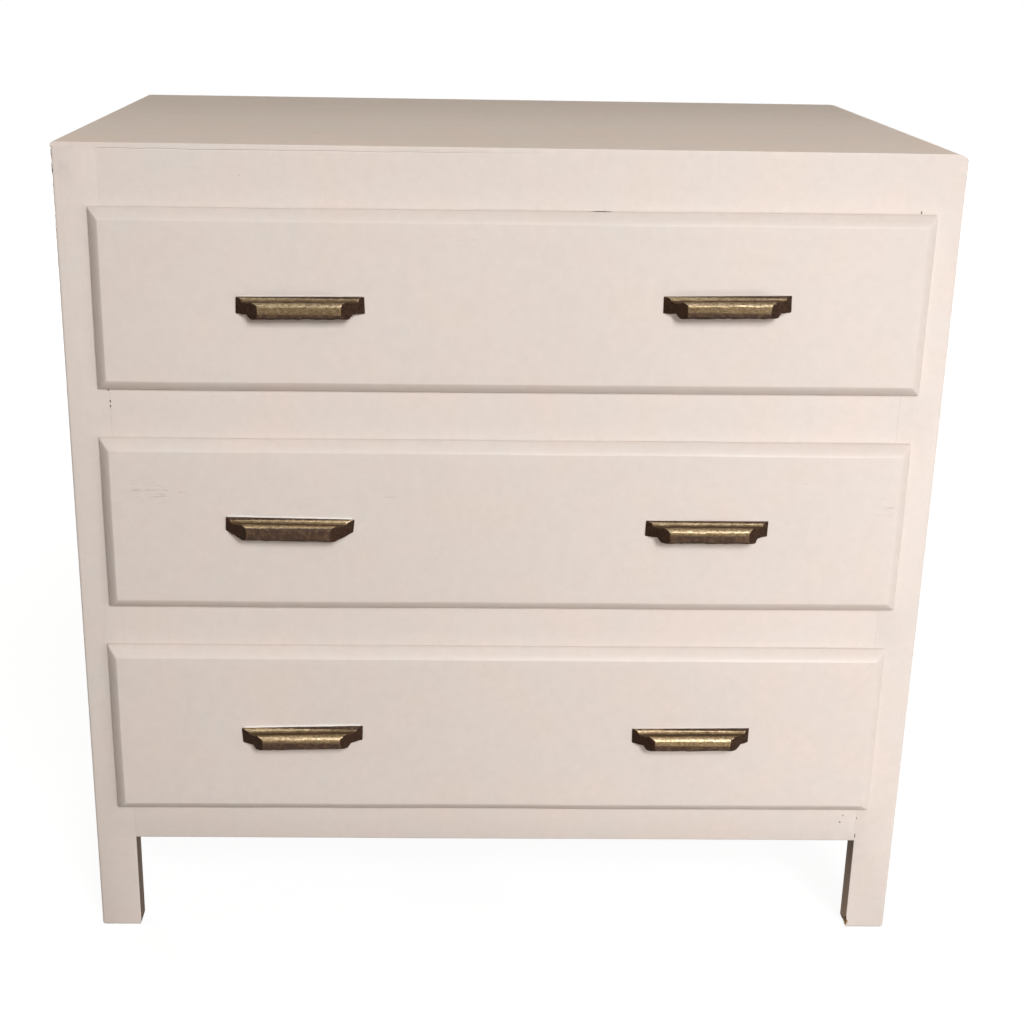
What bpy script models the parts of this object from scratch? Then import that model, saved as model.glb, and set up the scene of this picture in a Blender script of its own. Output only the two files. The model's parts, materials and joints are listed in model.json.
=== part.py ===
# Painted three-drawer commode: mortised posts and rails, flush sides and top, lipped drawer fronts on wooden
# runners, and two moulded brass pulls on each drawer.
# Metres, +Z up, the front faces -Y, the origin is on the floor under the middle of the whole piece.

import math

import bmesh
import bpy
from mathutils import Matrix, Vector

# Fits
SEAT_GAP = 0.0003            # left between pieces that touch
BOX_CLEARANCE = 0.0015       # drawer box to the post or guide on each side
BOX_HEADROOM = 0.004         # drawer box to the top of its opening

# Carcass
WIDTH = 0.820                # across the posts
DEPTH = 0.500                # face of the frame to the back
LEG_CLEAR = 0.104            # floor to the bottom rail
TOP_THICKNESS = 0.0045
TOP_ARRIS = 0.004            # round along the upper edge of the top
TOP_CORNER = 0.007           # round of the front corners of the top, seen from above
POST_WIDTH = 0.040
POST_ARRIS = 0.0025          # round along the outer front edge of a post
FRAME_THICKNESS = 0.024      # posts and rails, front to back
SIDE_THICKNESS = 0.016
BACK_THICKNESS = 0.005
BACK_REBATE_LIP = 0.012      # post left standing outside the back panel
TENON_LENGTH = 0.022
TENON_THICKNESS = 0.008
TENON_SHOULDER = 0.009       # rail above and below its tenon

# Rails as they show between the drawer fronts
TOP_RAIL_SHOWN = 0.0505
UPPER_RAIL_SHOWN = 0.0465
LOWER_RAIL_SHOWN = 0.0405
BOTTOM_RAIL_SHOWN = 0.038

# Runners
RUNNER_LEDGE = 0.006         # runner inside the drawer's side board
GUIDE_RISE = 0.015           # guide above the runner

# Drawer fronts
TOP_FRONT_HEIGHT = 0.1685
MIDDLE_FRONT_HEIGHT = 0.1705
BOTTOM_FRONT_HEIGHT = 0.180
LIP_OVER_POST = 0.0135       # front lapping over a post
LIP_OVER_RAIL = 0.008        # front lapping over a rail
LIP_EDGE = 0.002             # square edge behind the chamfer
LIP_CHAMFER = 0.0105
TONGUE_DEPTH = 0.009         # rebated back of the front, inside the opening
TOP_FRONT_SHIFT = 0.002      # fronts were fitted by hand, a little out of line
MIDDLE_FRONT_SHIFT = 0.0
BOTTOM_FRONT_SHIFT = -0.004

# Drawer boxes
BOX_BACK_ROOM = 0.021        # box to the rear posts and rails
SIDE_BOARD = 0.012
BACK_BOARD = 0.010
BACK_BOARD_DROP = 0.008      # back board below the top of the side boards
BOTTOM_BOARD = 0.004
GROOVE_DEPTH = 0.006
GROOVE_RISE = 0.010          # bottom board above the lower edge of the box

# Pulls, placed by hand: across from the middle of the commode, up from the middle of the front
TOP_PULL_LEFT = -0.1904
TOP_PULL_LEFT_RISE = -0.0035
TOP_PULL_RIGHT = 0.1987
TOP_PULL_RIGHT_RISE = 0.0019
MIDDLE_PULL_LEFT = -0.2043
MIDDLE_PULL_LEFT_RISE = -0.0002
MIDDLE_PULL_RIGHT = 0.1934
MIDDLE_PULL_RIGHT_RISE = 0.0010
BOTTOM_PULL_LEFT = -0.1961
BOTTOM_PULL_LEFT_RISE = -0.0038
BOTTOM_PULL_RIGHT = 0.1907
BOTTOM_PULL_RIGHT_RISE = -0.0027
PULL_LENGTH = 0.118
PULL_HEIGHT = 0.0182
PULL_DEPTH = 0.0175
PULL_END_SLANT = 0.0213      # each end, shorter at the nose than at the plate
PLATE_EDGE = 0.0015          # flat on top of the plate
LIP_MOULD_DEPTH = 0.005      # quarter round under the top edge
LIP_MOULD_DROP = 0.0028
COVE_SAG = 0.0015
NOSE_START = 0.012           # where the cove meets the nose
NOSE_ROUND = 0.0045
NOSE_UNDER_ROUND = 0.0045
NOSE_UNDER_START = 0.0125
NOSE_HANG = 0.0027           # nose below the plate
PLATE_FOOT_DEPTH = 0.0085
PLATE_FOOT_RISE = 0.0012     # underside of the plate, higher towards the nose
NOSE_FOOT_DEPTH = 0.011
POCKET_BACK_WALL = 0.0036    # finger pocket, open below
POCKET_FRONT_WALL = 0.0057
POCKET_ROOF = 0.0025
POCKET_END_WALL = 0.003

# How rounds are made
ARC_STEPS = 6                # points along each arc of the pull's section
ROUND_STEPS = 4              # faces along each rounded edge
ROUND_PROFILE = 0.5          # bevel shape that gives a true round
SHARP_ANGLE = math.radians(35)
MERGE_DISTANCE = 0.00001

# Pull screws
SCREW_DIAMETER = 0.004
SCREW_CLEARANCE = 0.0003     # round the shank
SCREW_INSET = 0.0155         # from the end of the pull
SCREW_RISE = 0.009           # above the lowest line of the pull
SCREW_BITE = 0.006           # shank inside the pull
SCREW_POINT_ROOM = 0.001     # hole beyond the shank
SCREW_HEAD_DIAMETER = 0.0085
SCREW_HEAD_HEIGHT = 0.0028
SCREW_HEAD_CHAMFER = 0.0010
SCREW_SIDES = 12

# Planes and widths that follow from the sizes above
LIP_THICKNESS = LIP_EDGE + LIP_CHAMFER
FRONT_PROJECTION = SEAT_GAP + LIP_THICKNESS + SEAT_GAP + PULL_DEPTH
FACE_Y = -(DEPTH - FRONT_PROJECTION) / 2
FRAME_BACK_Y = FACE_Y + FRAME_THICKNESS
BACK_Y = FACE_Y + DEPTH
REAR_FRAME_Y = BACK_Y - FRAME_THICKNESS
LIP_BACK_Y = FACE_Y - SEAT_GAP
LIP_FRONT_Y = LIP_BACK_Y - LIP_THICKNESS
TONGUE_BACK_Y = LIP_BACK_Y + TONGUE_DEPTH
BOX_BACK_Y = REAR_FRAME_Y - BOX_BACK_ROOM
PULL_BACK_Y = LIP_FRONT_Y - SEAT_GAP
HALF_WIDTH = WIDTH / 2
OPENING_HALF = HALF_WIDTH - POST_WIDTH
BOX_HALF = OPENING_HALF - BOX_CLEARANCE
BOX_INSIDE_HALF = BOX_HALF - SIDE_BOARD
SIDE_INSIDE_X = HALF_WIDTH - SIDE_THICKNESS

# Levels from the floor up
BOTTOM_FRONT_LOW = LEG_CLEAR + BOTTOM_RAIL_SHOWN
MIDDLE_FRONT_LOW = BOTTOM_FRONT_LOW + BOTTOM_FRONT_HEIGHT + LOWER_RAIL_SHOWN
TOP_FRONT_LOW = MIDDLE_FRONT_LOW + MIDDLE_FRONT_HEIGHT + UPPER_RAIL_SHOWN
TOP_LOW = TOP_FRONT_LOW + TOP_FRONT_HEIGHT + TOP_RAIL_SHOWN
FRAME_TOP = TOP_LOW - SEAT_GAP

DRAWERS = (
    {
        "name": "top_drawer",
        "front_low": TOP_FRONT_LOW,
        "front_high": TOP_FRONT_LOW + TOP_FRONT_HEIGHT,
        "shift": TOP_FRONT_SHIFT,
        "pulls": {
            "left": (TOP_PULL_LEFT, TOP_PULL_LEFT_RISE),
            "right": (TOP_PULL_RIGHT, TOP_PULL_RIGHT_RISE),
        },
    },
    {
        "name": "middle_drawer",
        "front_low": MIDDLE_FRONT_LOW,
        "front_high": MIDDLE_FRONT_LOW + MIDDLE_FRONT_HEIGHT,
        "shift": MIDDLE_FRONT_SHIFT,
        "pulls": {
            "left": (MIDDLE_PULL_LEFT, MIDDLE_PULL_LEFT_RISE),
            "right": (MIDDLE_PULL_RIGHT, MIDDLE_PULL_RIGHT_RISE),
        },
    },
    {
        "name": "bottom_drawer",
        "front_low": BOTTOM_FRONT_LOW,
        "front_high": BOTTOM_FRONT_LOW + BOTTOM_FRONT_HEIGHT,
        "shift": BOTTOM_FRONT_SHIFT,
        "pulls": {
            "left": (BOTTOM_PULL_LEFT, BOTTOM_PULL_LEFT_RISE),
            "right": (BOTTOM_PULL_RIGHT, BOTTOM_PULL_RIGHT_RISE),
        },
    },
)
SIDES = {"left": -1, "right": 1}


def opening_low(drawer):
    return drawer["front_low"] + LIP_OVER_RAIL


def opening_high(drawer):
    return drawer["front_high"] - LIP_OVER_RAIL


def box_low(drawer):
    return opening_low(drawer) + SEAT_GAP


def box_high(drawer):
    return opening_high(drawer) - BOX_HEADROOM


# Scene and materials
def clear_scene():
    for obj in list(bpy.data.objects):
        bpy.data.objects.remove(obj, do_unlink=True)


def new_collection(name):
    collection = bpy.data.collections.new(name)
    bpy.context.scene.collection.children.link(collection)
    return collection


def new_material(name, colour, roughness, metallic=0.0):
    material = bpy.data.materials.new(name)
    material.use_nodes = True
    shader = material.node_tree.nodes["Principled BSDF"]
    shader.inputs["Base Color"].default_value = (*colour, 1.0)
    shader.inputs["Roughness"].default_value = roughness
    shader.inputs["Metallic"].default_value = metallic
    return material


clear_scene()
PARTS = new_collection("commode")
CUTTERS = new_collection("commode_cutters")
CREAM_PAINT = new_material("cream_paint", (0.74, 0.64, 0.56), 0.55)
DARK_WOOD = new_material("dark_wood", (0.10, 0.062, 0.042), 0.65)
PALE_WOOD = new_material("pale_wood", (0.45, 0.30, 0.18), 0.65)
PLYWOOD = new_material("plywood", (0.40, 0.27, 0.16), 0.70)
AGED_BRASS = new_material("aged_brass", (0.42, 0.31, 0.16), 0.38, 1.0)
STEEL = new_material("steel", (0.45, 0.44, 0.42), 0.40, 1.0)


# Building blocks
def new_body(name, location):
    empty = bpy.data.objects.new(name, None)
    empty.location = location
    PARTS.objects.link(empty)
    return empty


def box_mesh(name, size):
    bm = bmesh.new()
    bmesh.ops.create_cube(bm, size=1.0)
    bmesh.ops.scale(bm, vec=size, verts=bm.verts)
    mesh = bpy.data.meshes.new(name)
    bm.to_mesh(mesh)
    bm.free()
    return mesh


def add_part(name, mesh, place, material, body):
    mesh.materials.clear()
    mesh.materials.append(material)
    obj = bpy.data.objects.new(name, mesh)
    obj.parent = body
    obj.location = Vector(place) - body.location
    PARTS.objects.link(obj)
    return obj


def add_board(name, low, high, material, body):
    low, high = Vector(low), Vector(high)
    return add_part(name, box_mesh(name, high - low), (low + high) / 2, material, body)


def as_cutter(obj):
    CUTTERS.objects.link(obj)
    obj.hide_render = True
    obj.display_type = "WIRE"
    return obj


def add_cutter(name, low, high):
    low, high = Vector(low), Vector(high)
    obj = bpy.data.objects.new(name, box_mesh(name, high - low))
    obj.location = (low + high) / 2
    return as_cutter(obj)


def combine(obj, other, operation):
    modifier = obj.modifiers.new(other.name, "BOOLEAN")
    modifier.operation = operation
    modifier.object = other


def round_edges(obj, chosen, radius, segments):
    bm = bmesh.new()
    bm.from_mesh(obj.data)
    edges = [edge for edge in bm.edges if chosen(edge.verts[0].co, edge.verts[1].co)]
    bmesh.ops.bevel(bm, geom=edges, offset=radius, segments=segments, profile=ROUND_PROFILE, affect="EDGES")
    bm.to_mesh(obj.data)
    bm.free()


def evaluated_mesh(obj):
    graph = bpy.context.evaluated_depsgraph_get()
    return bpy.data.meshes.new_from_object(obj.evaluated_get(graph))


def ellipse_arc(centre, radii, start, end):
    angles = [math.radians(start + (end - start) * i / ARC_STEPS) for i in range(ARC_STEPS + 1)]
    return [(centre[0] + radii[0] * math.cos(a), centre[1] + radii[1] * math.sin(a)) for a in angles]


# Carcass frame
def add_posts(carcass):
    posts = {}
    for side, sign in SIDES.items():
        inner, outer = sorted((sign * OPENING_HALF, sign * HALF_WIDTH))
        front = add_board(
            f"front_post_{side}", (inner, FACE_Y, 0), (outer, FRAME_BACK_Y, FRAME_TOP), CREAM_PAINT, carcass
        )
        outer_front = lambda a, b: max(a.y, b.y) < 0 and min(a.x * sign, b.x * sign) > 0
        round_edges(front, outer_front, POST_ARRIS, ROUND_STEPS)
        rear = add_board(
            f"rear_post_{side}", (inner, REAR_FRAME_Y, 0), (outer, BACK_Y, FRAME_TOP), CREAM_PAINT, carcass
        )
        posts[side] = {"front": front, "rear": rear}
    rebate = add_cutter(
        "back_rebate",
        (-(HALF_WIDTH - BACK_REBATE_LIP), BACK_Y - BACK_THICKNESS - SEAT_GAP, LEG_CLEAR - SEAT_GAP),
        (HALF_WIDTH - BACK_REBATE_LIP, BACK_Y + BACK_THICKNESS, TOP_LOW + TOP_THICKNESS),
    )
    for pair in posts.values():
        combine(pair["rear"], rebate, "DIFFERENCE")
    return posts


def add_rail(name, row, low, high, depth, material, posts, carcass):
    half = OPENING_HALF - SEAT_GAP
    near, far = depth
    rail = add_board(name, (-half, near, low), (half, far, high), material, carcass)
    reach = half + TENON_LENGTH
    middle = (near + far) / 2
    tenon_low = Vector((-reach, middle - TENON_THICKNESS / 2, low + TENON_SHOULDER))
    tenon_high = Vector((reach, middle + TENON_THICKNESS / 2, high - TENON_SHOULDER))
    room = Vector((SEAT_GAP, SEAT_GAP, SEAT_GAP))
    combine(rail, add_cutter(f"{name}_tenons", tenon_low, tenon_high), "UNION")
    mortises = add_cutter(f"{name}_mortises", tenon_low - room, tenon_high + room)
    for pair in posts.values():
        combine(pair[row], mortises, "DIFFERENCE")


def add_rails(posts, carcass):
    top, middle, bottom = DRAWERS
    front = (FACE_Y, FRAME_BACK_Y)
    rear = (REAR_FRAME_Y, BACK_Y - BACK_THICKNESS - SEAT_GAP)
    levels = {
        "top_rail": (opening_high(top), FRAME_TOP),
        "upper_rail": (opening_high(middle), opening_low(top)),
        "lower_rail": (opening_high(bottom), opening_low(middle)),
        "bottom_rail": (LEG_CLEAR, opening_low(bottom)),
    }
    for name, (low, high) in levels.items():
        add_rail(name, "front", low, high, front, CREAM_PAINT, posts, carcass)
    for name in ("top_rail", "bottom_rail"):
        low, high = levels[name]
        add_rail(f"rear_{name}", "rear", low, high, rear, DARK_WOOD, posts, carcass)


def add_panels(carcass):
    for side, sign in SIDES.items():
        inner, outer = sorted((sign * SIDE_INSIDE_X, sign * HALF_WIDTH))
        add_board(
            f"side_panel_{side}",
            (inner, FRAME_BACK_Y + SEAT_GAP, LEG_CLEAR),
            (outer, REAR_FRAME_Y - SEAT_GAP, FRAME_TOP),
            CREAM_PAINT,
            carcass,
        )
    back_half = HALF_WIDTH - BACK_REBATE_LIP - SEAT_GAP
    add_board(
        "back_panel",
        (-back_half, BACK_Y - BACK_THICKNESS, LEG_CLEAR),
        (back_half, BACK_Y, FRAME_TOP),
        PLYWOOD,
        carcass,
    )
    top = add_board(
        "top_panel",
        (-HALF_WIDTH, FACE_Y, TOP_LOW),
        (HALF_WIDTH, BACK_Y, TOP_LOW + TOP_THICKNESS),
        CREAM_PAINT,
        carcass,
    )
    round_edges(top, lambda a, b: a.y < 0 and b.y < 0 and a.x * b.x > 0, TOP_CORNER, ROUND_STEPS)
    round_edges(top, lambda a, b: a.z > 0 and b.z > 0 and not (a.y > 0 and b.y > 0), TOP_ARRIS, ROUND_STEPS)


# Runners carry the drawer above them and keep the one below from tipping
def runner_levels():
    top, middle, bottom = DRAWERS
    return (
        (top, opening_high(middle)),
        (middle, opening_high(bottom)),
        (bottom, LEG_CLEAR),
    )


def add_runners(carcass):
    near = FRAME_BACK_Y + SEAT_GAP
    far = REAR_FRAME_Y - SEAT_GAP
    outer = SIDE_INSIDE_X - SEAT_GAP
    inner = BOX_INSIDE_HALF - RUNNER_LEDGE
    for drawer, low in runner_levels():
        shelf = opening_low(drawer)
        for side, sign in SIDES.items():
            name = f"{drawer['name']}_runner_{side}"
            low_x, high_x = sorted((sign * inner, sign * outer))
            runner = add_board(name, (low_x, near, low), (high_x, far, shelf), DARK_WOOD, carcass)
            low_x, high_x = sorted((sign * OPENING_HALF, sign * outer))
            guide = add_cutter(f"{name}_guide", (low_x, near, low), (high_x, far, shelf + GUIDE_RISE))
            combine(runner, guide, "UNION")
    kicker_low = opening_high(DRAWERS[0])
    for side, sign in SIDES.items():
        low_x, high_x = sorted((sign * inner, sign * outer))
        low, high = (low_x, near, kicker_low), (high_x, far, FRAME_TOP)
        add_board(f"top_side_rail_{side}", low, high, DARK_WOOD, carcass)


# Pull: one moulded section along its length, ends cut on a slant, a finger pocket below
def pull_section():
    height = PULL_HEIGHT
    lip_foot = height - LIP_MOULD_DROP
    nose_side = lip_foot - NOSE_ROUND
    cove_middle = (LIP_MOULD_DEPTH + NOSE_START) / 2
    points = [(0, height)]
    points += ellipse_arc((PLATE_EDGE, lip_foot), (LIP_MOULD_DEPTH - PLATE_EDGE, LIP_MOULD_DROP), 90, 0)
    points += ellipse_arc((cove_middle, lip_foot), (NOSE_START - cove_middle, COVE_SAG), 180, 360)[1:]
    points += ellipse_arc((NOSE_START, nose_side), (PULL_DEPTH - NOSE_START, NOSE_ROUND), 90, 0)[1:]
    points += ellipse_arc(
        (NOSE_UNDER_START, NOSE_UNDER_ROUND), (PULL_DEPTH - NOSE_UNDER_START, NOSE_UNDER_ROUND), 0, -90
    )
    points += [(NOSE_FOOT_DEPTH, 0), (PLATE_FOOT_DEPTH, NOSE_HANG + PLATE_FOOT_RISE), (0, NOSE_HANG)]
    return points


def extruded_section(name, points, half_length):
    curve = bpy.data.curves.new(name, "CURVE")
    curve.dimensions = "2D"
    curve.fill_mode = "BOTH"
    curve.extrude = half_length
    spline = curve.splines.new("POLY")
    spline.points.add(len(points) - 1)
    for point, (depth, height) in zip(spline.points, points):
        point.co = (depth, height, 0, 1)
    spline.use_cyclic_u = True
    obj = bpy.data.objects.new(name, curve)
    CUTTERS.objects.link(obj)
    mesh = evaluated_mesh(obj)
    bpy.data.objects.remove(obj, do_unlink=True)
    return mesh


def slant_end(bm, sign):
    cut = bmesh.ops.bisect_plane(
        bm,
        geom=bm.verts[:] + bm.edges[:] + bm.faces[:],
        plane_co=(sign * PULL_LENGTH / 2, 0, 0),
        plane_no=(sign, -PULL_END_SLANT / PULL_DEPTH, 0),
        clear_outer=True,
    )
    edges = [item for item in cut["geom_cut"] if isinstance(item, bmesh.types.BMEdge)]
    bmesh.ops.holes_fill(bm, edges=edges, sides=0)


def screw_places():
    reach = PULL_LENGTH / 2 - SCREW_INSET
    return (-reach, reach)


def hole_cutter(name, place, near, far):
    bm = bmesh.new()
    bmesh.ops.create_cone(
        bm,
        cap_ends=True,
        segments=SCREW_SIDES,
        radius1=SCREW_DIAMETER / 2 + SCREW_CLEARANCE,
        radius2=SCREW_DIAMETER / 2 + SCREW_CLEARANCE,
        depth=far - near,
        matrix=Matrix.Rotation(math.radians(90), 4, "X"),
    )
    mesh = bpy.data.meshes.new(name)
    bm.to_mesh(mesh)
    bm.free()
    obj = bpy.data.objects.new(name, mesh)
    obj.location = (place[0], (near + far) / 2, place[1])
    return as_cutter(obj)


def pull_mesh():
    mesh = extruded_section("pull_section", pull_section(), PULL_LENGTH / 2 + PULL_DEPTH)
    bm = bmesh.new()
    bm.from_mesh(mesh)
    bmesh.ops.remove_doubles(bm, verts=bm.verts, dist=MERGE_DISTANCE)
    along_x = Matrix(((0, 0, -1, 0), (-1, 0, 0, 0), (0, 1, 0, 0), (0, 0, 0, 1)))
    bmesh.ops.transform(bm, matrix=along_x, verts=bm.verts)
    for sign in SIDES.values():
        slant_end(bm, sign)
    bmesh.ops.recalc_face_normals(bm, faces=bm.faces)
    bm.to_mesh(mesh)
    bm.free()
    blank = as_cutter(bpy.data.objects.new("pull_blank", mesh))
    hole_radius = SCREW_DIAMETER / 2 + SCREW_CLEARANCE
    pocket_half = screw_places()[1] - hole_radius - POCKET_END_WALL
    pocket_top = PULL_HEIGHT - LIP_MOULD_DROP - COVE_SAG - POCKET_ROOF
    pocket = add_cutter(
        "pull_pocket",
        (-pocket_half, -(PULL_DEPTH - POCKET_FRONT_WALL), -PULL_HEIGHT),
        (pocket_half, -POCKET_BACK_WALL, pocket_top),
    )
    combine(blank, pocket, "DIFFERENCE")
    hole_depth = SCREW_BITE + SCREW_POINT_ROOM
    for count, place in enumerate(screw_places()):
        hole = hole_cutter(f"pull_hole_{count}", (place, SCREW_RISE), -hole_depth, hole_depth)
        combine(blank, hole, "DIFFERENCE")
    finished = evaluated_mesh(blank)
    finished.shade_smooth()
    finished.set_sharp_from_angle(angle=SHARP_ANGLE)
    return finished


def screw_mesh():
    radius = SCREW_DIAMETER / 2
    head = SCREW_HEAD_DIAMETER / 2
    length = TONGUE_DEPTH + LIP_THICKNESS + 2 * SEAT_GAP + SCREW_BITE
    profile = (
        (0, SCREW_HEAD_HEIGHT),
        (head - SCREW_HEAD_CHAMFER, SCREW_HEAD_HEIGHT),
        (head, SCREW_HEAD_HEIGHT - SCREW_HEAD_CHAMFER),
        (head, 0),
        (radius, 0),
        (radius, -length),
        (0, -length),
    )
    mesh = bpy.data.meshes.new("screw_profile")
    edges = [(i, i + 1) for i in range(len(profile) - 1)]
    mesh.from_pydata([(x, 0, z) for x, z in profile], edges, [])
    obj = bpy.data.objects.new("screw_profile", mesh)
    CUTTERS.objects.link(obj)
    turned = obj.modifiers.new("turned", "SCREW")
    turned.steps = SCREW_SIDES
    turned.render_steps = SCREW_SIDES
    turned.use_merge_vertices = True
    turned.merge_threshold = MERGE_DISTANCE
    finished = evaluated_mesh(obj)
    bpy.data.objects.remove(obj, do_unlink=True)
    finished.shade_smooth()
    finished.set_sharp_from_angle(angle=SHARP_ANGLE)
    return finished


# Drawers
def add_front(drawer, groove, holes, body):
    half = OPENING_HALF + LIP_OVER_POST
    shift = drawer["shift"]
    front = add_board(
        f"{drawer['name']}_front",
        (shift - half, LIP_FRONT_Y, drawer["front_low"]),
        (shift + half, LIP_BACK_Y, drawer["front_high"]),
        CREAM_PAINT,
        body,
    )
    round_edges(front, lambda a, b: a.y < 0 and b.y < 0, LIP_CHAMFER, 1)
    tongue_half = BOX_INSIDE_HALF - SEAT_GAP
    tongue = add_cutter(
        f"{drawer['name']}_tongue",
        (-tongue_half, (LIP_FRONT_Y + LIP_BACK_Y) / 2, box_low(drawer)),
        (tongue_half, TONGUE_BACK_Y, box_high(drawer)),
    )
    combine(front, tongue, "UNION")
    combine(front, groove, "DIFFERENCE")
    for hole in holes:
        combine(front, hole, "DIFFERENCE")


def add_box(drawer, body):
    name = drawer["name"]
    low, high = box_low(drawer), box_high(drawer)
    groove_half = BOX_INSIDE_HALF + GROOVE_DEPTH
    groove_near = TONGUE_BACK_Y - GROOVE_DEPTH
    board_low = low + GROOVE_RISE
    board_high = board_low + BOTTOM_BOARD
    add_board(
        f"{name}_bottom",
        (-groove_half + SEAT_GAP, groove_near + SEAT_GAP, board_low),
        (groove_half - SEAT_GAP, BOX_BACK_Y, board_high),
        PLYWOOD,
        body,
    )
    groove = add_cutter(
        f"{name}_groove",
        (-groove_half, groove_near, board_low - SEAT_GAP),
        (groove_half, BOX_BACK_Y + BACK_BOARD, board_high + SEAT_GAP),
    )
    for side, sign in SIDES.items():
        inner, outer = sorted((sign * BOX_INSIDE_HALF, sign * BOX_HALF))
        board = add_board(
            f"{name}_side_{side}", (inner, FACE_Y, low), (outer, BOX_BACK_Y, high), PALE_WOOD, body
        )
        combine(board, groove, "DIFFERENCE")
    back_half = BOX_INSIDE_HALF - SEAT_GAP
    add_board(
        f"{name}_back",
        (-back_half, BOX_BACK_Y - BACK_BOARD, board_high + SEAT_GAP),
        (back_half, BOX_BACK_Y, high - BACK_BOARD_DROP),
        PALE_WOOD,
        body,
    )
    return groove


def add_pulls(drawer, pull, screw, body):
    name = drawer["name"]
    centred_low = (drawer["front_low"] + drawer["front_high"] - PULL_HEIGHT) / 2
    holes = []
    for side, (middle, rise) in drawer["pulls"].items():
        low = centred_low + rise
        add_part(f"{name}_pull_{side}", pull, (middle, PULL_BACK_Y, low), AGED_BRASS, body)
        for end, offset in zip(SIDES, screw_places()):
            place = (middle + offset, low + SCREW_RISE)
            label = f"{name}_pull_{side}_screw_{end}"
            obj = add_part(label, screw, (place[0], TONGUE_BACK_Y + SEAT_GAP, place[1]), STEEL, body)
            obj.rotation_euler = (math.radians(-90), 0, 0)
            beyond = SCREW_HEAD_HEIGHT
            holes.append(hole_cutter(f"{label}_hole", place, LIP_FRONT_Y - beyond, TONGUE_BACK_Y + beyond))
    return holes


def main():
    carcass = new_body("carcass", (0, 0, 0))
    posts = add_posts(carcass)
    add_rails(posts, carcass)
    add_panels(carcass)
    add_runners(carcass)
    pull = pull_mesh()
    screw = screw_mesh()
    for drawer in DRAWERS:
        body = new_body(drawer["name"], (0, FACE_Y, (box_low(drawer) + box_high(drawer)) / 2))
        groove = add_box(drawer, body)
        holes = add_pulls(drawer, pull, screw, body)
        add_front(drawer, groove, holes, body)


main()
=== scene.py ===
import json
import math

import bmesh
import bpy
from mathutils import Matrix, Vector


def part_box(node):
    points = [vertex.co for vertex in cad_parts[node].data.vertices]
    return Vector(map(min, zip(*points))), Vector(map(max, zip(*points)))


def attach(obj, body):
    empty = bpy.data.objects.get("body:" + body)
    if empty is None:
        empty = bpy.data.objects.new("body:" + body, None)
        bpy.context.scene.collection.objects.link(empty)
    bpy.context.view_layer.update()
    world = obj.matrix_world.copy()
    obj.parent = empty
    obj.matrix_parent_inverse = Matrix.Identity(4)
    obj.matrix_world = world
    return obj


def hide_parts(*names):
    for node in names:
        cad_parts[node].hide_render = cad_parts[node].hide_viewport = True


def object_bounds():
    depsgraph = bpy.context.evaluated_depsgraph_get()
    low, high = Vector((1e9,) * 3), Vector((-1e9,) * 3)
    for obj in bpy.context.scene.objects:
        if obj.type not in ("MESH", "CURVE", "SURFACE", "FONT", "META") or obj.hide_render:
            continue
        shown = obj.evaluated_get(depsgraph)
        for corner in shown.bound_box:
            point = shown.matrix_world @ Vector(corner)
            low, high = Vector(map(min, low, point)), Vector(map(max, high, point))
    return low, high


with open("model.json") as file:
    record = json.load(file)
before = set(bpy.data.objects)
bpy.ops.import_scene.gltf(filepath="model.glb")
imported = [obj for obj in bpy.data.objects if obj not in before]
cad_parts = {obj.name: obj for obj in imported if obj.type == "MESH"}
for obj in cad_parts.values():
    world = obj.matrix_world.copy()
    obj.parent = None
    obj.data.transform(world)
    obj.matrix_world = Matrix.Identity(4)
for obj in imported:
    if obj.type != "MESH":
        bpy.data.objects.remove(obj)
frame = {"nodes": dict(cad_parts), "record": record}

# A painted commode with three drawers: cream paint over dark wood, pale drawer boxes, gilt pulls.
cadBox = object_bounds()
bpy.context.scene.view_settings.view_transform = "Standard"

tiny = 0.00002
mergeDistance = 0.00001
cutSlack = 0.000001                # a cut this near to a point takes the point
flatAngle = math.radians(0.5)      # faces this close to flat are one face
cornerAngle = math.radians(15)     # edges that turn less than this are not corners
smoothAngle = math.radians(32)
mostly = 0.9                       # a direction with this share along an axis runs along it
cloudRange = (0.3, 0.7)            # most of a cloud texture lies between these
drawers = ("top_drawer", "middle_drawer", "bottom_drawer")
sides = ("left", "right")
bodyOf = {node: body for body, nodes in frame["record"]["behaviour"]["bodies"].items() for node in nodes}
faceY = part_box("front_post_left")[0].y
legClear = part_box("bottom_rail")[0].z


# Picking and shaping, as by hand

def closeMesh():
    if bpy.context.mode != "OBJECT":
        bpy.ops.object.mode_set(mode="OBJECT")


def onlyPick(piece):
    closeMesh()
    bpy.ops.object.select_all(action="DESELECT")
    piece.select_set(True)
    bpy.context.view_layer.objects.active = piece


def openMesh(piece):               # edit mode with nothing picked
    onlyPick(piece)
    bpy.ops.object.mode_set(mode="EDIT")
    bpy.ops.mesh.select_all(action="DESELECT")


def pickFaces(piece, wanted):      # wanted(middle, normal)
    bpy.ops.mesh.select_mode(type="FACE")
    bpy.ops.mesh.select_all(action="DESELECT")
    cage = bmesh.from_edit_mesh(piece.data)
    for face in cage.faces:
        if wanted(face.calc_center_median(), face.normal):
            face.select_set(True)
    bmesh.update_edit_mesh(piece.data)


def pickCorners(piece, wanted):    # wanted(middle, along), on edges that turn a corner
    bpy.ops.mesh.select_mode(type="EDGE")
    bpy.ops.mesh.select_all(action="DESELECT")
    cage = bmesh.from_edit_mesh(piece.data)
    for edge in cage.edges:
        if edge.calc_face_angle(0) < cornerAngle:
            continue
        start, end = (vert.co for vert in edge.verts)
        if wanted((start + end) / 2, (end - start).normalized()):
            edge.select_set(True)
    bmesh.update_edit_mesh(piece.data)


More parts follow.
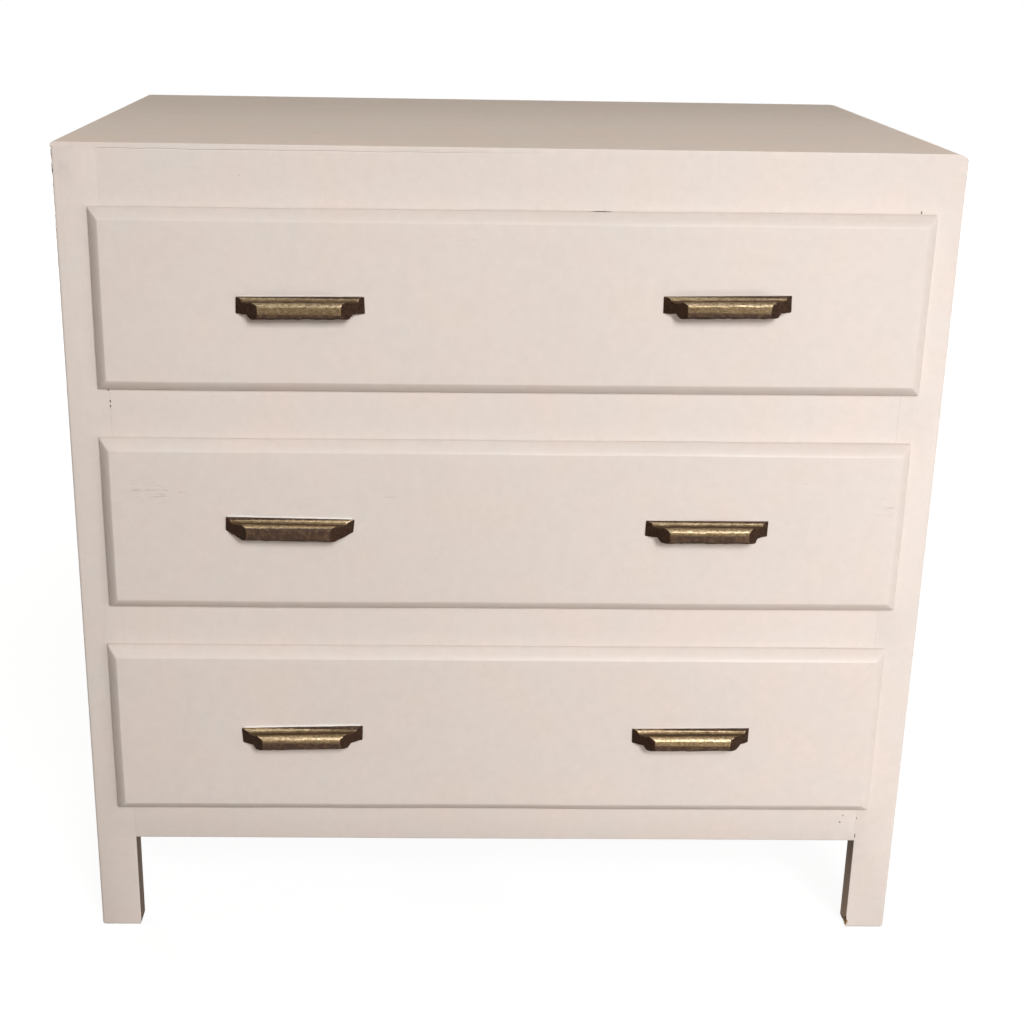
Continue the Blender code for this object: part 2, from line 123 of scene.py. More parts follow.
def pickPoints(piece, wanted):     # wanted(place)
    bpy.ops.mesh.select_mode(type="VERT")
    bpy.ops.mesh.select_all(action="DESELECT")
    cage = bmesh.from_edit_mesh(piece.data)
    for vert in cage.verts:
        if wanted(vert.co):
            vert.select_set(True)
    bmesh.update_edit_mesh(piece.data)


def movePoints(piece, wanted, shift):
    pickPoints(piece, wanted)
    bpy.ops.transform.translate(value=shift)


def shiftPoints(piece, shift):     # shift(place) moves one point of the open mesh
    cage = bmesh.from_edit_mesh(piece.data)
    for vert in cage.verts:
        shift(vert.co)
    bmesh.update_edit_mesh(piece.data)


def ease(piece, wanted, width, steps=3):
    pickCorners(piece, wanted)
    bpy.ops.mesh.bevel(offset=width, segments=steps, profile=0.5, affect="EDGES", clamp_overlap=True)


def cutAt(axis, place):            # a ring of edges all round the open mesh
    spot, normal = Vector(), Vector()
    spot[axis] = place
    normal[axis] = 1
    bpy.ops.mesh.select_all(action="SELECT")
    bpy.ops.mesh.bisect(plane_co=spot, plane_no=normal, threshold=cutSlack)


def cutBetween(axis, low, high, spacing):
    count = max(1, round((high - low) / spacing))
    for step in range(1, count):
        cutAt(axis, low + (high - low) * step / count)


def waver(piece, title, direction, strength, grain, weightOf):
    onlyPick(piece)
    group = piece.vertex_groups.new(name=title)
    for vert in piece.data.vertices:
        weight = weightOf(vert.co)
        if weight > 0:
            group.add([vert.index], min(weight, 1), "REPLACE")
    clouds = bpy.data.textures.new(title, "CLOUDS")
    clouds.noise_scale = grain
    clouds.noise_depth = 1
    push = piece.modifiers.new(title, "DISPLACE")
    push.texture = clouds
    push.texture_coords = "LOCAL"
    push.direction = direction
    push.mid_level = 0.5
    push.strength = strength
    push.vertex_group = group.name
    bpy.ops.object.modifier_apply(modifier=push.name)
    piece.vertex_groups.clear()
    bpy.data.textures.remove(clouds)


def carve(piece, cutter):          # takes the cutter's shape away, its look stays on the cut
    onlyPick(piece)
    cut = piece.modifiers.new("carve", "BOOLEAN")
    cut.operation = "DIFFERENCE"
    cut.solver = "MANIFOLD"
    cut.material_mode = "TRANSFER"
    cut.object = cutter
    bpy.ops.object.modifier_apply(modifier=cut.name)
    bpy.data.objects.remove(cutter, do_unlink=True)


def fromNode(node, name):          # a merged copy of a solid, left open for editing
    mesh = frame["nodes"][node].data.copy()
    mesh.materials.clear()
    piece = bpy.data.objects.new(name, mesh)
    bpy.context.scene.collection.objects.link(piece)
    openMesh(piece)
    bpy.ops.mesh.customdata_custom_splitnormals_clear()
    bpy.ops.mesh.select_all(action="SELECT")
    bpy.ops.mesh.remove_doubles(threshold=mergeDistance)
    bpy.ops.mesh.dissolve_limited(angle_limit=flatAngle)
    return piece


def newBlock(name, low, high):     # a cube at its size and place, left open for editing
    closeMesh()
    bpy.ops.mesh.primitive_cube_add(size=1, location=(0, 0, 0))
    piece = bpy.context.object
    piece.name = name
    openMesh(piece)
    bpy.ops.mesh.select_all(action="SELECT")
    bpy.ops.transform.resize(value=high - low)
    bpy.ops.transform.translate(value=(low + high) / 2)
    return piece


def dress(piece, looks, choose):   # choose(middle, normal) gives the look's place in the list
    onlyPick(piece)
    piece.data.materials.clear()
    for look in looks:
        piece.data.materials.append(look)
    for face in piece.data.polygons:
        face.material_index = choose(face.center, face.normal)


def finishPiece(piece, body, slotName, *nodes):
    onlyPick(piece)
    bpy.ops.object.shade_smooth_by_angle(angle=smoothAngle)
    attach(piece, body)
    if nodes:
        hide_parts(*nodes)


# Wiring for the looks

def newLook(name):
    look = bpy.data.materials.new(name)
    look.use_nodes = True
    return look, look.node_tree, look.node_tree.nodes["Principled BSDF"]


def objectSpace(tree, scale=(1, 1, 1), centre=(0, 0, 0)):
    coords = tree.nodes.new("ShaderNodeTexCoord")
    place = tree.nodes.new("ShaderNodeMapping")
    place.inputs["Scale"].default_value = scale
    place.inputs["Location"].default_value = [-value * size for value, size in zip(centre, scale)]
    tree.links.new(coords.outputs["Object"], place.inputs["Vector"])
    return place.outputs["Vector"]


def grainSpace(tree, along, lengthways, across):
    scale = [across] * 3
    scale["XYZ".index(along)] = lengthways
    return objectSpace(tree, scale)


def cloud(tree, space, scale, detail=2.0, rough=0.5, bend=0.0):
    node = tree.nodes.new("ShaderNodeTexNoise")
    node.inputs["Scale"].default_value = scale
    node.inputs["Detail"].default_value = detail
    node.inputs["Roughness"].default_value = rough
    node.inputs["Distortion"].default_value = bend
    tree.links.new(space, node.inputs["Vector"])
    return node.outputs["Fac"]


def spread(tree, value, fromLow, fromHigh, toLow=0.0, toHigh=1.0):
    node = tree.nodes.new("ShaderNodeMapRange")
    node.inputs["From Min"].default_value = fromLow
    node.inputs["From Max"].default_value = fromHigh
    node.inputs["To Min"].default_value = toLow
    node.inputs["To Max"].default_value = toHigh
    tree.links.new(value, node.inputs["Value"])
    return node.outputs["Result"]


def sums(tree, kind, first, second):
    node = tree.nodes.new("ShaderNodeMath")
    node.operation = kind
    for socket, value in zip(node.inputs, (first, second)):
        if isinstance(value, (int, float)):
            socket.default_value = value
        else:
            tree.links.new(value, socket)
    return node.outputs["Value"]


def blendColours(tree, amount, first, second, kind="MIX"):
    node = tree.nodes.new("ShaderNodeMix")
    node.data_type = "RGBA"
    node.blend_type = kind
    colours = [socket for socket in node.inputs if socket.type == "RGBA"]
    for socket, value in zip(colours, (first, second)):
        if isinstance(value, tuple):
            socket.default_value = (*value, 1)
        else:
            tree.links.new(value, socket)
    if isinstance(amount, (int, float)):
        node.inputs[0].default_value = amount
    else:
        tree.links.new(amount, node.inputs[0])
    return next(socket for socket in node.outputs if socket.type == "RGBA")


def ramp(tree, value, stops):      # stops: (place, colour)
    node = tree.nodes.new("ShaderNodeValToRGB")
    elements = node.color_ramp.elements
    while len(elements) < len(stops):
        elements.new(1.0)
    for element, (place, colour) in zip(elements, stops):
        element.position = place
        element.color = (*colour, 1)
    tree.links.new(value, node.inputs["Fac"])
    return node.outputs["Color"]


def seenAsItIs(tree):              # 1 for the camera, mirrors and glass, 0 for light on its way
    path = tree.nodes.new("ShaderNodeLightPath")
    seen = sums(tree, "MAXIMUM", path.outputs["Is Camera Ray"], path.outputs["Is Glossy Ray"])
    return sums(tree, "MAXIMUM", seen, path.outputs["Is Transmission Ray"])


def bumps(tree, shader, layers):   # layers: (height, strength, distance), the finest last
    normal = None
    for height, strength, distance in layers:
        node = tree.nodes.new("ShaderNodeBump")
        node.inputs["Strength"].default_value = strength
        node.inputs["Distance"].default_value = distance
        tree.links.new(height, node.inputs["Height"])
        if normal:
            tree.links.new(normal, node.inputs["Normal"])
        normal = node.outputs["Normal"]
    tree.links.new(normal, shader.inputs["Normal"])


# Looks

paint = {
    "warm": (0.767, 0.669, 0.612),
    "grey": (0.745, 0.673, 0.622),
    "topWarmLight": (1.16, 1.11, 1.04),  # painted warm light on the top: its paint lighter and warmer than the rest
    "blotchGrain": 16,
    "blotchSpread": (0.36, 0.64),
    "broad": (0.965, 1.0),           # slow drift of the tone
    "broadGrain": 3.1,
    "mottle": (0.970, 1.030),
    "mottleGrain": 90,
    "strokeGrain": (7, 380),         # lengthways, across
    "dentGrain": 520,
    "waveGrain": 12,
    "rough": (0.42, 0.52),
    "shine": 0.45,
    "topRough": (0.50, 0.60),
    "topShine": 0.25,
    "crack": (0.40, 0.34, 0.29),
    "crackGrain": (55, 620),
    "crackSpread": (0.60, 0.68),
    "crackShown": 0.45,
    "smudge": (0.600, 0.545, 0.515),
    "smudgeAt": (-0.399, 0.786),     # on the left post: across, up
    "smudgeReach": (0.003, 0.018),
    "smudgeGrain": 70,
}
crackPlaces = (                    # where the grain opens the paint: across, up, half width, half height
    (-0.035, 0.721, 0.016, 0.004),
    (0.169, 0.721, 0.008, 0.003),
    (0.342, 0.702, 0.006, 0.004),
    (-0.328, 0.483, 0.034, 0.015),
    (-0.364, 0.461, 0.014, 0.004),
    (-0.109, 0.476, 0.013, 0.004),
    (0.276, 0.498, 0.015, 0.004),
    (0.363, 0.471, 0.010, 0.013),
)


def creamPaint(name, along, smudged=False, cracked=False, tone=(1, 1, 1), rough=paint["rough"],
               shine=paint["shine"]):
    look, tree, shader = newLook(name)
    plain = objectSpace(tree)
    blotch = spread(tree, cloud(tree, plain, paint["blotchGrain"], 3), *paint["blotchSpread"])
    warm = tuple(value * share for value, share in zip(paint["warm"], tone))
    grey = tuple(value * share for value, share in zip(paint["grey"], tone))
    colour = blendColours(tree, blotch, warm, grey)
    broad = spread(tree, cloud(tree, plain, paint["broadGrain"], 1), *cloudRange, *paint["broad"])
    mottle = spread(tree, cloud(tree, plain, paint["mottleGrain"], 5, 0.75), *cloudRange, *paint["mottle"])
    shading = sums(tree, "MULTIPLY", broad, mottle)
    shade = tree.nodes.new("ShaderNodeCombineColor")
    for socket in shade.inputs:
        tree.links.new(shading, socket)
    colour = blendColours(tree, 1.0, colour, shade.outputs["Color"], "MULTIPLY")
    strokes = cloud(tree, grainSpace(tree, along, *paint["strokeGrain"]), 1.0, 4, 0.6)
    dents = cloud(tree, plain, paint["dentGrain"], 3)
    if cracked:
        grain = cloud(tree, grainSpace(tree, along, *paint["crackGrain"]), 1.0, 2, 0.5, 0.3)
        patches = nearAny(tree, crackPlaces)
        cracks = sums(tree, "MULTIPLY", spread(tree, grain, *paint["crackSpread"]), patches)
        shown = sums(tree, "MULTIPLY", cracks, paint["crackShown"])
        colour = blendColours(tree, shown, colour, paint["crack"])
        dents = sums(tree, "SUBTRACT", dents, cracks)
    if smudged:
        x, z = paint["smudgeAt"]
        node = tree.nodes.new("ShaderNodeVectorMath")
        node.operation = "LENGTH"
        tree.links.new(objectSpace(tree, (1, 1, 0.8), (x, faceY, z)), node.inputs[0])
        near = spread(tree, node.outputs["Value"], *paint["smudgeReach"], 1, 0)
        worn = spread(tree, cloud(tree, plain, paint["smudgeGrain"], 3), 0.35, 0.65, 0.15, 0.75)
        colour = blendColours(tree, sums(tree, "MULTIPLY", near, worn), colour, paint["smudge"])
    tree.links.new(colour, shader.inputs["Base Color"])
    tree.links.new(spread(tree, strokes, *cloudRange, *rough), shader.inputs["Roughness"])
    shader.inputs["Specular IOR Level"].default_value = shine
    waves = cloud(tree, plain, paint["waveGrain"], 2)
    bumps(tree, shader, ((waves, 0.15, 0.002), (strokes, 0.20, 0.0005), (dents, 0.18, 0.0004)))
    return look


def nearAny(tree, places):         # 1 inside the ellipses on the front, 0 outside
    share = None
    for x, z, halfWidth, halfHeight in places:
        node = tree.nodes.new("ShaderNodeVectorMath")
        node.operation = "LENGTH"
        tree.links.new(objectSpace(tree, (1 / halfWidth, 0, 1 / halfHeight), (x, 0, z)), node.inputs[0])
        inside = spread(tree, node.outputs["Value"], 0.6, 1.1, 1, 0)
        share = inside if share is None else sums(tree, "MAXIMUM", share, inside)
    return share


wood = {
    "dark": ((0.060, 0.036, 0.022), (0.140, 0.090, 0.056), (0.19, 0.125, 0.080)),
    "pale": ((0.36, 0.225, 0.115), (0.52, 0.36, 0.20), (0.60, 0.44, 0.27)),
    "veneer": ((0.27, 0.165, 0.085), (0.40, 0.265, 0.145), (0.47, 0.325, 0.19)),
}


def timber(name, tone, along, rings, ringBend=5.0):
    look, tree, shader = newLook(name)
    stretched = grainSpace(tree, along, 0.09, 1.0)
    bands = tree.nodes.new("ShaderNodeTexWave")
    bands.wave_type = "BANDS"
    bands.bands_direction = "DIAGONAL"
    bands.inputs["Scale"].default_value = rings
    bands.inputs["Distortion"].default_value = ringBend
    bands.inputs["Detail"].default_value = 2.5
    bands.inputs["Detail Scale"].default_value = 0.6
    tree.links.new(stretched, bands.inputs["Vector"])
    fibres = cloud(tree, grainSpace(tree, along, 9, 700), 1.0, 4, 0.65)
    streaks = cloud(tree, grainSpace(tree, along, 1.6, 46), 1.0, 3, 0.6)
    mixed = sums(tree, "ADD", sums(tree, "MULTIPLY", bands.outputs["Fac"], 0.5),
                 sums(tree, "MULTIPLY", streaks, 0.55))
    low, middle, high = wood[tone]
    colour = ramp(tree, mixed, ((0.2, high), (0.52, middle), (0.92, low)))
    pores = spread(tree, fibres, 0.56, 0.74, 0, 0.6)
    colour = blendColours(tree, pores, colour, low)
    stains = spread(tree, cloud(tree, objectSpace(tree), 9, 3), 0.5, 0.8, 0, 0.45)
    colour = blendColours(tree, stains, colour, low)
    tree.links.new(colour, shader.inputs["Base Color"])
    tree.links.new(spread(tree, fibres, *cloudRange, 0.58, 0.78), shader.inputs["Roughness"])
    shader.inputs["Specular IOR Level"].default_value = 0.12
    bumps(tree, shader, ((streaks, 0.15, 0.001), (fibres, 0.25, 0.0004)))
    return look


def plyEdge(name, across):         # dark and pale layers, one over the other
    look, tree, shader = newLook(name)
    layers = tree.nodes.new("ShaderNodeTexWave")
    layers.wave_type = "BANDS"
    layers.bands_direction = across
    layers.inputs["Scale"].default_value = 190
    layers.inputs["Distortion"].default_value = 0.4
    tree.links.new(objectSpace(tree), layers.inputs["Vector"])
    low, middle, high = wood["veneer"]
    colour = ramp(tree, layers.outputs["Fac"], ((0.25, high), (0.6, middle), (0.85, low)))
    rough = cloud(tree, objectSpace(tree), 700, 4)
    tree.links.new(colour, shader.inputs["Base Color"])
    tree.links.new(spread(tree, rough, *cloudRange, 0.7, 0.85), shader.inputs["Roughness"])
    bumps(tree, shader, ((rough, 0.3, 0.0004),))
    return look


gilt = {
    "brown": (0.060, 0.034, 0.022),
    "rubBrown": (0.150, 0.088, 0.050),
    # dark brown for the painted shade in the cove, and for the worn patches
    "cove": (0.060, 0.034, 0.016),
    "leaf": ((0.34, (0.130, 0.085, 0.040)), (0.5, (0.250, 0.170, 0.085)), (0.68, (0.40, 0.290, 0.165))),
    "paintedHighlight": (0.84, 0.66, 0.42),    # painted highlight on the rounds of the nose and the lip
    "leafGrain": 900,
    "patchGrain": 270,
    "ragged": 0.8,                   # mm the lower rim of the gold wanders
    "lipStart": (1.2, 2.6),          # mm out from the back of the plate, here down to noseStart
    "lipEnd": (4.2, 5.0),
    "hollowStart": (4.3, 5.6),
    "hollowEnd": (11.2, 12.8),
    "noseStart": (13.0, 14.5),
    "crest": 4.6,                    # mm down to the crest of the nose
    "crestReach": (0.3, 2.2),
    "rough": (0.48, 0.34),
    "metal": 0.6,
    "shine": 0.15,
}


# worn gilt for the pulls, with painted highlights on the nose and lip and painted shade in the cove
def agedGiltPaintedLight(name, top, dropEnd, fade, lustre):   # top: middle of the upper back edge; dropEnd in mm below it
    look, tree, shader = newLook(name)
    parts = tree.nodes.new("ShaderNodeSeparateXYZ")
    tree.links.new(objectSpace(tree, (1000, 1000, 1000), top), parts.inputs["Vector"])
    out = sums(tree, "MULTIPLY", parts.outputs["Y"], -1.0)
    down = sums(tree, "MULTIPLY", parts.outputs["Z"], -1.0)
    plain = objectSpace(tree)
    leaf = cloud(tree, objectSpace(tree, (0.45, 1, 1)), gilt["leafGrain"], 5, 0.66)
    patches = cloud(tree, plain, gilt["patchGrain"], 4, 0.6)
    rag = spread(tree, patches, 0, 1, -gilt["ragged"], gilt["ragged"])
    under = spread(tree, sums(tree, "ADD", down, rag), dropEnd - fade / 2, dropEnd + fade / 2, 1, 0)
    edge = spread(tree, sums(tree, "ADD", down, sums(tree, "MULTIPLY", rag, 0.5)), 0.4, 1.0)
    gold = sums(tree, "MULTIPLY", under, edge)
    tones = [(place, tuple(value * lustre for value in tone)) for place, tone in gilt["leaf"]]
    highlightTone = tuple(value * lustre for value in gilt["paintedHighlight"])
    colour = ramp(tree, leaf, tones)
    worn = spread(tree, patches, 0.56, 0.72, 0, 0.65)
    colour = blendColours(tree, worn, colour, gilt["cove"])
    # painted highlight: a bright band along the crest of the nose
    onNose = spread(tree, out, *gilt["noseStart"])
    offCrest = sums(tree, "ABSOLUTE", sums(tree, "SUBTRACT", down, gilt["crest"]), 0)
    crest = sums(tree, "MULTIPLY", spread(tree, offCrest, *gilt["crestReach"], 1, 0), onNose)
    paintedHighlight = sums(tree, "MULTIPLY", crest, spread(tree, leaf, 0.38, 0.6, 0.1, 0.9))
    colour = blendColours(tree, paintedHighlight, colour, highlightTone)
    # painted highlight on the lip's round
    lip = sums(tree, "MULTIPLY", spread(tree, out, *gilt["lipStart"]),
               spread(tree, out, *gilt["lipEnd"], 1, 0))
    lip = sums(tree, "MULTIPLY", lip, spread(tree, leaf, 0.36, 0.6, 0.1, 0.75))
    colour = blendColours(tree, lip, colour, highlightTone)
    # painted shade in the cove between the lip and the nose: darker brown there
    hollow = sums(tree, "MULTIPLY", spread(tree, out, *gilt["hollowStart"]),
                  spread(tree, out, *gilt["hollowEnd"], 1, 0))
    colour = blendColours(tree, sums(tree, "MULTIPLY", hollow, 0.9), colour, gilt["cove"])
    ground = blendColours(tree, spread(tree, patches, 0.45, 0.72), gilt["brown"], gilt["rubBrown"])
    colour = blendColours(tree, gold, ground, colour)
    tree.links.new(colour, shader.inputs["Base Color"])
    # the cove's painted shade also takes metal away there, so it reflects less
    bright = sums(tree, "SUBTRACT", 1.0, sums(tree, "MULTIPLY", hollow, 0.8))
    metal = sums(tree, "MULTIPLY", sums(tree, "MULTIPLY", gold, bright), gilt["metal"])
    tree.links.new(metal, shader.inputs["Metallic"])
    tree.links.new(spread(tree, leaf, *cloudRange, *gilt["rough"]), shader.inputs["Roughness"])
    shader.inputs["Specular IOR Level"].default_value = gilt["shine"]
    bumps(tree, shader, ((patches, 0.25, 0.0006), (leaf, 0.3, 0.0003)))
    return look


def patina(name, deep, shown, grain, rough, metal=0.0, shine=0.5):
    look, tree, shader = newLook(name)
    plain = objectSpace(tree)
    spots = cloud(tree, plain, grain, 4, 0.6)
    fine = cloud(tree, plain, grain * 5, 4)
    colour = blendColours(tree, spread(tree, spots, 0.35, 0.7), deep, shown)
    tree.links.new(colour, shader.inputs["Base Color"])
    tree.links.new(spread(tree, fine, *cloudRange, rough - 0.08, rough + 0.1), shader.inputs["Roughness"])
    shader.inputs["Metallic"].default_value = metal
    shader.inputs["Specular IOR Level"].default_value = shine
    bumps(tree, shader, ((spots, 0.2, 0.0005), (fine, 0.2, 0.0002)))
    return look


paintAcross = creamPaint("cream_paint_across", "X")
paintUp = creamPaint("cream_paint_up", "Z")
# the top's own copy of the paint, tinted to paint in the warm light that falls on it
paintTop = creamPaint("cream_paint_top_warm_lit", "X", tone=paint["topWarmLight"], rough=paint["topRough"],
                      shine=paint["topShine"])
paintFronts = creamPaint("cream_paint_fronts", "X", cracked=True)
paintLeftPost = creamPaint("cream_paint_left_post", "Z", smudged=True)
# whiter paint for the higher beads: a painted highlight
beadHighlightPaint = patina("bead_paint_painted_highlight", (0.86, 0.82, 0.78), (0.93, 0.90, 0.87), 160, 0.4)
darkUp = timber("dark_wood_up", "dark", "Z", 9)
darkAcross = timber("dark_wood_across", "dark", "X", 9)
paleDeep = timber("pale_wood_deep", "pale", "Y", 14)
paleAcross = timber("pale_wood_across", "pale", "X", 14)
paleUp = timber("broken_wood", "pale", "Z", 14)
veneerUp = timber("plywood_up", "veneer", "Z", 5, 9)
veneerAcross = timber("plywood_across", "veneer", "X", 5, 9)
plyBack = plyEdge("plywood_edge_back", "Y")
plyBottom = plyEdge("plywood_edge_bottom", "Z")
darkEnds = patina("dark_patina", (0.022, 0.011, 0.007), (0.064, 0.033, 0.019), 420, 0.5, shine=0.06)
steel = patina("dull_steel", (0.20, 0.18, 0.16), (0.42, 0.40, 0.38), 900, 0.42, 0.9)
print("looks ready:", len(bpy.data.materials))


# Posts, painted outside and bare inside

postShape = {
    "footEase": 0.0026,
    "legEase": 0.0010,
    "jointEase": 0.0005,           # front edge under the top
    "shoulderWide": 0.014,         # right side, top and post worn round together
    "shoulderHigh": 0.008,
    "shoulderReach": 0.0035,       # how deep the round goes into a post
    "shoulderCuts": (0.15, 0.4, 0.7, 1.0),
    "sideTurn": 0.4,               # faces that look this far out are painted
    "frontTurn": 0.3,
}
shoulderFoot = cadBox[1][2] - postShape["shoulderHigh"]


def shoulderIn(z):                 # how far the right side is worn in at this height
    rise = min(1.0, max(0.0, (z - shoulderFoot) / postShape["shoulderHigh"]))
    return postShape["shoulderWide"] * (1 - math.sqrt(1 - rise * rise))


def roundShoulder(piece, outerX, topZ):
    for share in postShape["shoulderCuts"]:
        cutAt(2, topZ - share * (topZ - shoulderFoot))

    def wearIn(place):
        if place.x > outerX - postShape["shoulderReach"]:
            place.x -= shoulderIn(place.z)

    shiftPoints(piece, wearIn)


def makePost(node):
    low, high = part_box(node)
    outward = -1 if low.x < 0 else 1
    front = low.y < 0
    innerX = high.x if outward < 0 else low.x
    piece = fromNode(node, node + "_painted")
    cutAt(2, legClear)
    ease(piece, lambda middle, along: abs(middle.z - low.z) < tiny, postShape["footEase"])
    ease(piece, lambda middle, along: abs(along.z) > mostly and middle.z < legClear
         and abs(middle.x - innerX) < tiny, postShape["legEase"], 2)
    if front:
        ease(piece, lambda middle, along: middle.z > high.z - tiny and middle.y < low.y + tiny,
             postShape["jointEase"], 2)
    if outward > 0:
        roundShoulder(piece, high.x, high.z)
    ownPaint = paintLeftPost if node == "front_post_left" else paintUp

    def choose(middle, normal):
        onSide = normal.x * outward > postShape["sideTurn"]
        onFront = front and normal.y < -postShape["frontTurn"]
        return 0 if onSide or onFront else 1

    dress(piece, (ownPaint, darkUp), choose)
    return piece


postNames = [end + "_post_" + side for end in ("front", "rear") for side in sides]
posts = {node: makePost(node) for node in postNames}
print("posts:", len(posts))


# Rails, flush with the posts

railShape = {
    "lowerEase": 0.0016,
    "seam": 0.00008,
    "wave": 0.0008,
    "waveLength": 0.09,
    "waveReach": 0.004,
    "cuts": 0.02,
    "frontTurn": 0.3,              # faces that look this far to the front are painted
}
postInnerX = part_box("front_post_right")[0].x


def makeRail(node):
    low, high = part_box(node)
    piece = fromNode(node, node + "_painted")
    onFace = lambda middle: abs(middle.y - low.y) < tiny
    cage = bmesh.from_edit_mesh(piece.data)
    shoulderX = max(vert.co.x for vert in cage.verts if onFace(vert.co))
    seam = 0 if node == "top_rail" else railShape["seam"]
    for sign in (-1, 1):           # paint fills the joint with the post, all but a hair
        movePoints(piece, lambda place: abs(place.x - sign * shoulderX) < tiny,
                   (sign * (postInnerX - seam - shoulderX), 0, 0))
    if node == "bottom_rail":
        ease(piece, lambda middle, along: onFace(middle) and abs(middle.z - low.z) < tiny,
             railShape["lowerEase"])
        cutBetween(0, low.x, high.x, railShape["cuts"])
        reach = railShape["waveReach"]
        waver(piece, "lower", "Z", railShape["wave"], railShape["waveLength"],
              lambda place: 1 if place.y < faceY + reach and place.z < low.z + reach else 0)
    if node == "top_rail":
        frayTopRail(piece, low, high)
    dress(piece, (paintAcross, darkAcross),
          lambda middle, normal: 0 if normal.y < -railShape["frontTurn"] else 1)
    return piece


def frayTopRail(piece, low, high):   # its upper edge, along the joint with the top
    reach = topShape["jointReach"]
    flakeFoot = high.z - topShape["flakeReach"]
    ease(piece, lambda middle, along: abs(middle.y - low.y) < tiny and middle.z > high.z - tiny,
         topShape["jointEase"], 2)
    cutBetween(0, low.x, high.x, topShape["cuts"])
    fillGroove(piece, high.z)
    cutAt(2, high.z - topShape["flakeHeight"])
    cutAt(2, flakeFoot)
    waver(piece, "upper", "Z", topShape["flakeRise"], topShape["flakeLength"],
          lambda place: openness(place.x) if place.y < faceY + reach and place.z > high.z - reach else 0)
    waver(piece, "flakes", "Y", topShape["flakeDepth"], topShape["flakeGrain"],
          lambda place: openness(place.x) if place.y < faceY + tiny and place.z > flakeFoot + tiny else 0)


# Top: thin board with a soft arris, its front joint open at the left and full of paint at the right

topShape = {
    "frontEase": 0.0036,
    "leftEase": 0.0032,
    "rightEase": 0.0042,
    "backEase": 0.0015,
    "jointEase": 0.0009,
    "cuts": 0.006,
    "jointGap": 0.00002,           # between the top and the rail where the joint is open
    "jointReach": 0.001,
    "openFull": -0.22,             # groove open left of here
    "openEnd": 0.10,               # and full of paint right of here
    "openLeast": 0.08,
    "flakeHeight": 0.0022,
    "flakeReach": 0.006,
    "flakeRise": 0.0014,
    "flakeLength": 0.013,
    "flakeDepth": 0.0006,
    "flakeGrain": 0.0078,
}


def openness(x):
    share = (x - topShape["openFull"]) / (topShape["openEnd"] - topShape["openFull"])
    return max(topShape["openLeast"], 1 - max(0.0, min(1.0, share)))


def fillGroove(piece, jointZ):     # paint fills the groove towards the right
    reach = topShape["jointEase"] + tiny

    def fill(place):
        if faceY < place.y < faceY + reach and abs(place.z - jointZ) < reach:
            place.y = faceY + (place.y - faceY) * openness(place.x)

    shiftPoints(piece, fill)


def makeTop():
    low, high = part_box("top_panel")
    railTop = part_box("top_rail")[1].z
    reach = topShape["jointReach"]
    piece = newBlock("top_panel_painted", low, high)
    onTop = lambda middle: abs(middle.z - high.z) < tiny
    atJoint = lambda place: place.y < low.y + reach and place.z < low.z + reach

    def wearRight(place):
        if place.x > high.x - topShape["rightEase"] - tiny:
            place.x = high.x - shoulderIn(place.z)

    def closeJoint(place):         # the front of the joint closes towards the right
        if atJoint(place):
            place.z -= (low.z - railTop) - topShape["jointGap"] * openness(place.x)

    ease(piece, lambda middle, along: onTop(middle) and abs(middle.x - high.x) < tiny,
         topShape["rightEase"], 6)
    shiftPoints(piece, wearRight)
    ease(piece, lambda middle, along: onTop(middle) and abs(middle.x - low.x) < tiny, topShape["leftEase"], 4)
    ease(piece, lambda middle, along: abs(middle.y - low.y) < tiny and middle.z > low.z + tiny
         and not (abs(along.z) > mostly), topShape["frontEase"], 5)
    ease(piece, lambda middle, along: onTop(middle) and abs(middle.y - high.y) < tiny,
         topShape["backEase"], 2)
    ease(piece, lambda middle, along: abs(middle.y - low.y) < tiny and abs(middle.z - low.z) < tiny,
         topShape["jointEase"], 2)
    cutBetween(0, low.x, high.x, topShape["cuts"])
    openMesh(piece)
    fillGroove(piece, low.z)
    shiftPoints(piece, closeJoint)
    waver(piece, "joint", "Z", topShape["flakeRise"], topShape["flakeLength"],
          lambda place: openness(place.x) if atJoint(place) else 0)
    dress(piece, (paintAcross, darkAcross, paintTop),
          lambda middle, normal: 1 if normal.z < -0.7 else 2 if normal.z > mostly else 0)
    return piece


topBoard = makeTop()
railNames = ("top_rail", "upper_rail", "lower_rail", "bottom_rail")
rails = {node: makeRail(node) for node in railNames}
print("top and rails:", 1 + len(rails))


# Side panels between the posts

sideShape = {"lowerEase": 0.0015, "outTurn": 0.3}   # faces that look further out than this are painted


def makeSide(node):
    low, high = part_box(node)
    outward = -1 if low.x < 0 else 1
    outerX = low.x if outward < 0 else high.x
    piece = fromNode(node, node + "_painted")
    ease(piece, lambda middle, along: abs(middle.z - low.z) < tiny and abs(middle.x - outerX) < tiny
         and abs(along.y) > mostly, sideShape["lowerEase"], 2)
    if outward > 0:
        roundShoulder(piece, high.x, high.z)
    dress(piece, (paintUp, darkUp),
          lambda middle, normal: 0 if normal.x * outward > sideShape["outTurn"] else 1)
    finishPiece(piece, "carcass", "painted_wood", node)


for side in sides:
    makeSide("side_panel_" + side)


# Chips, nail holes and open joints, cut into the wood

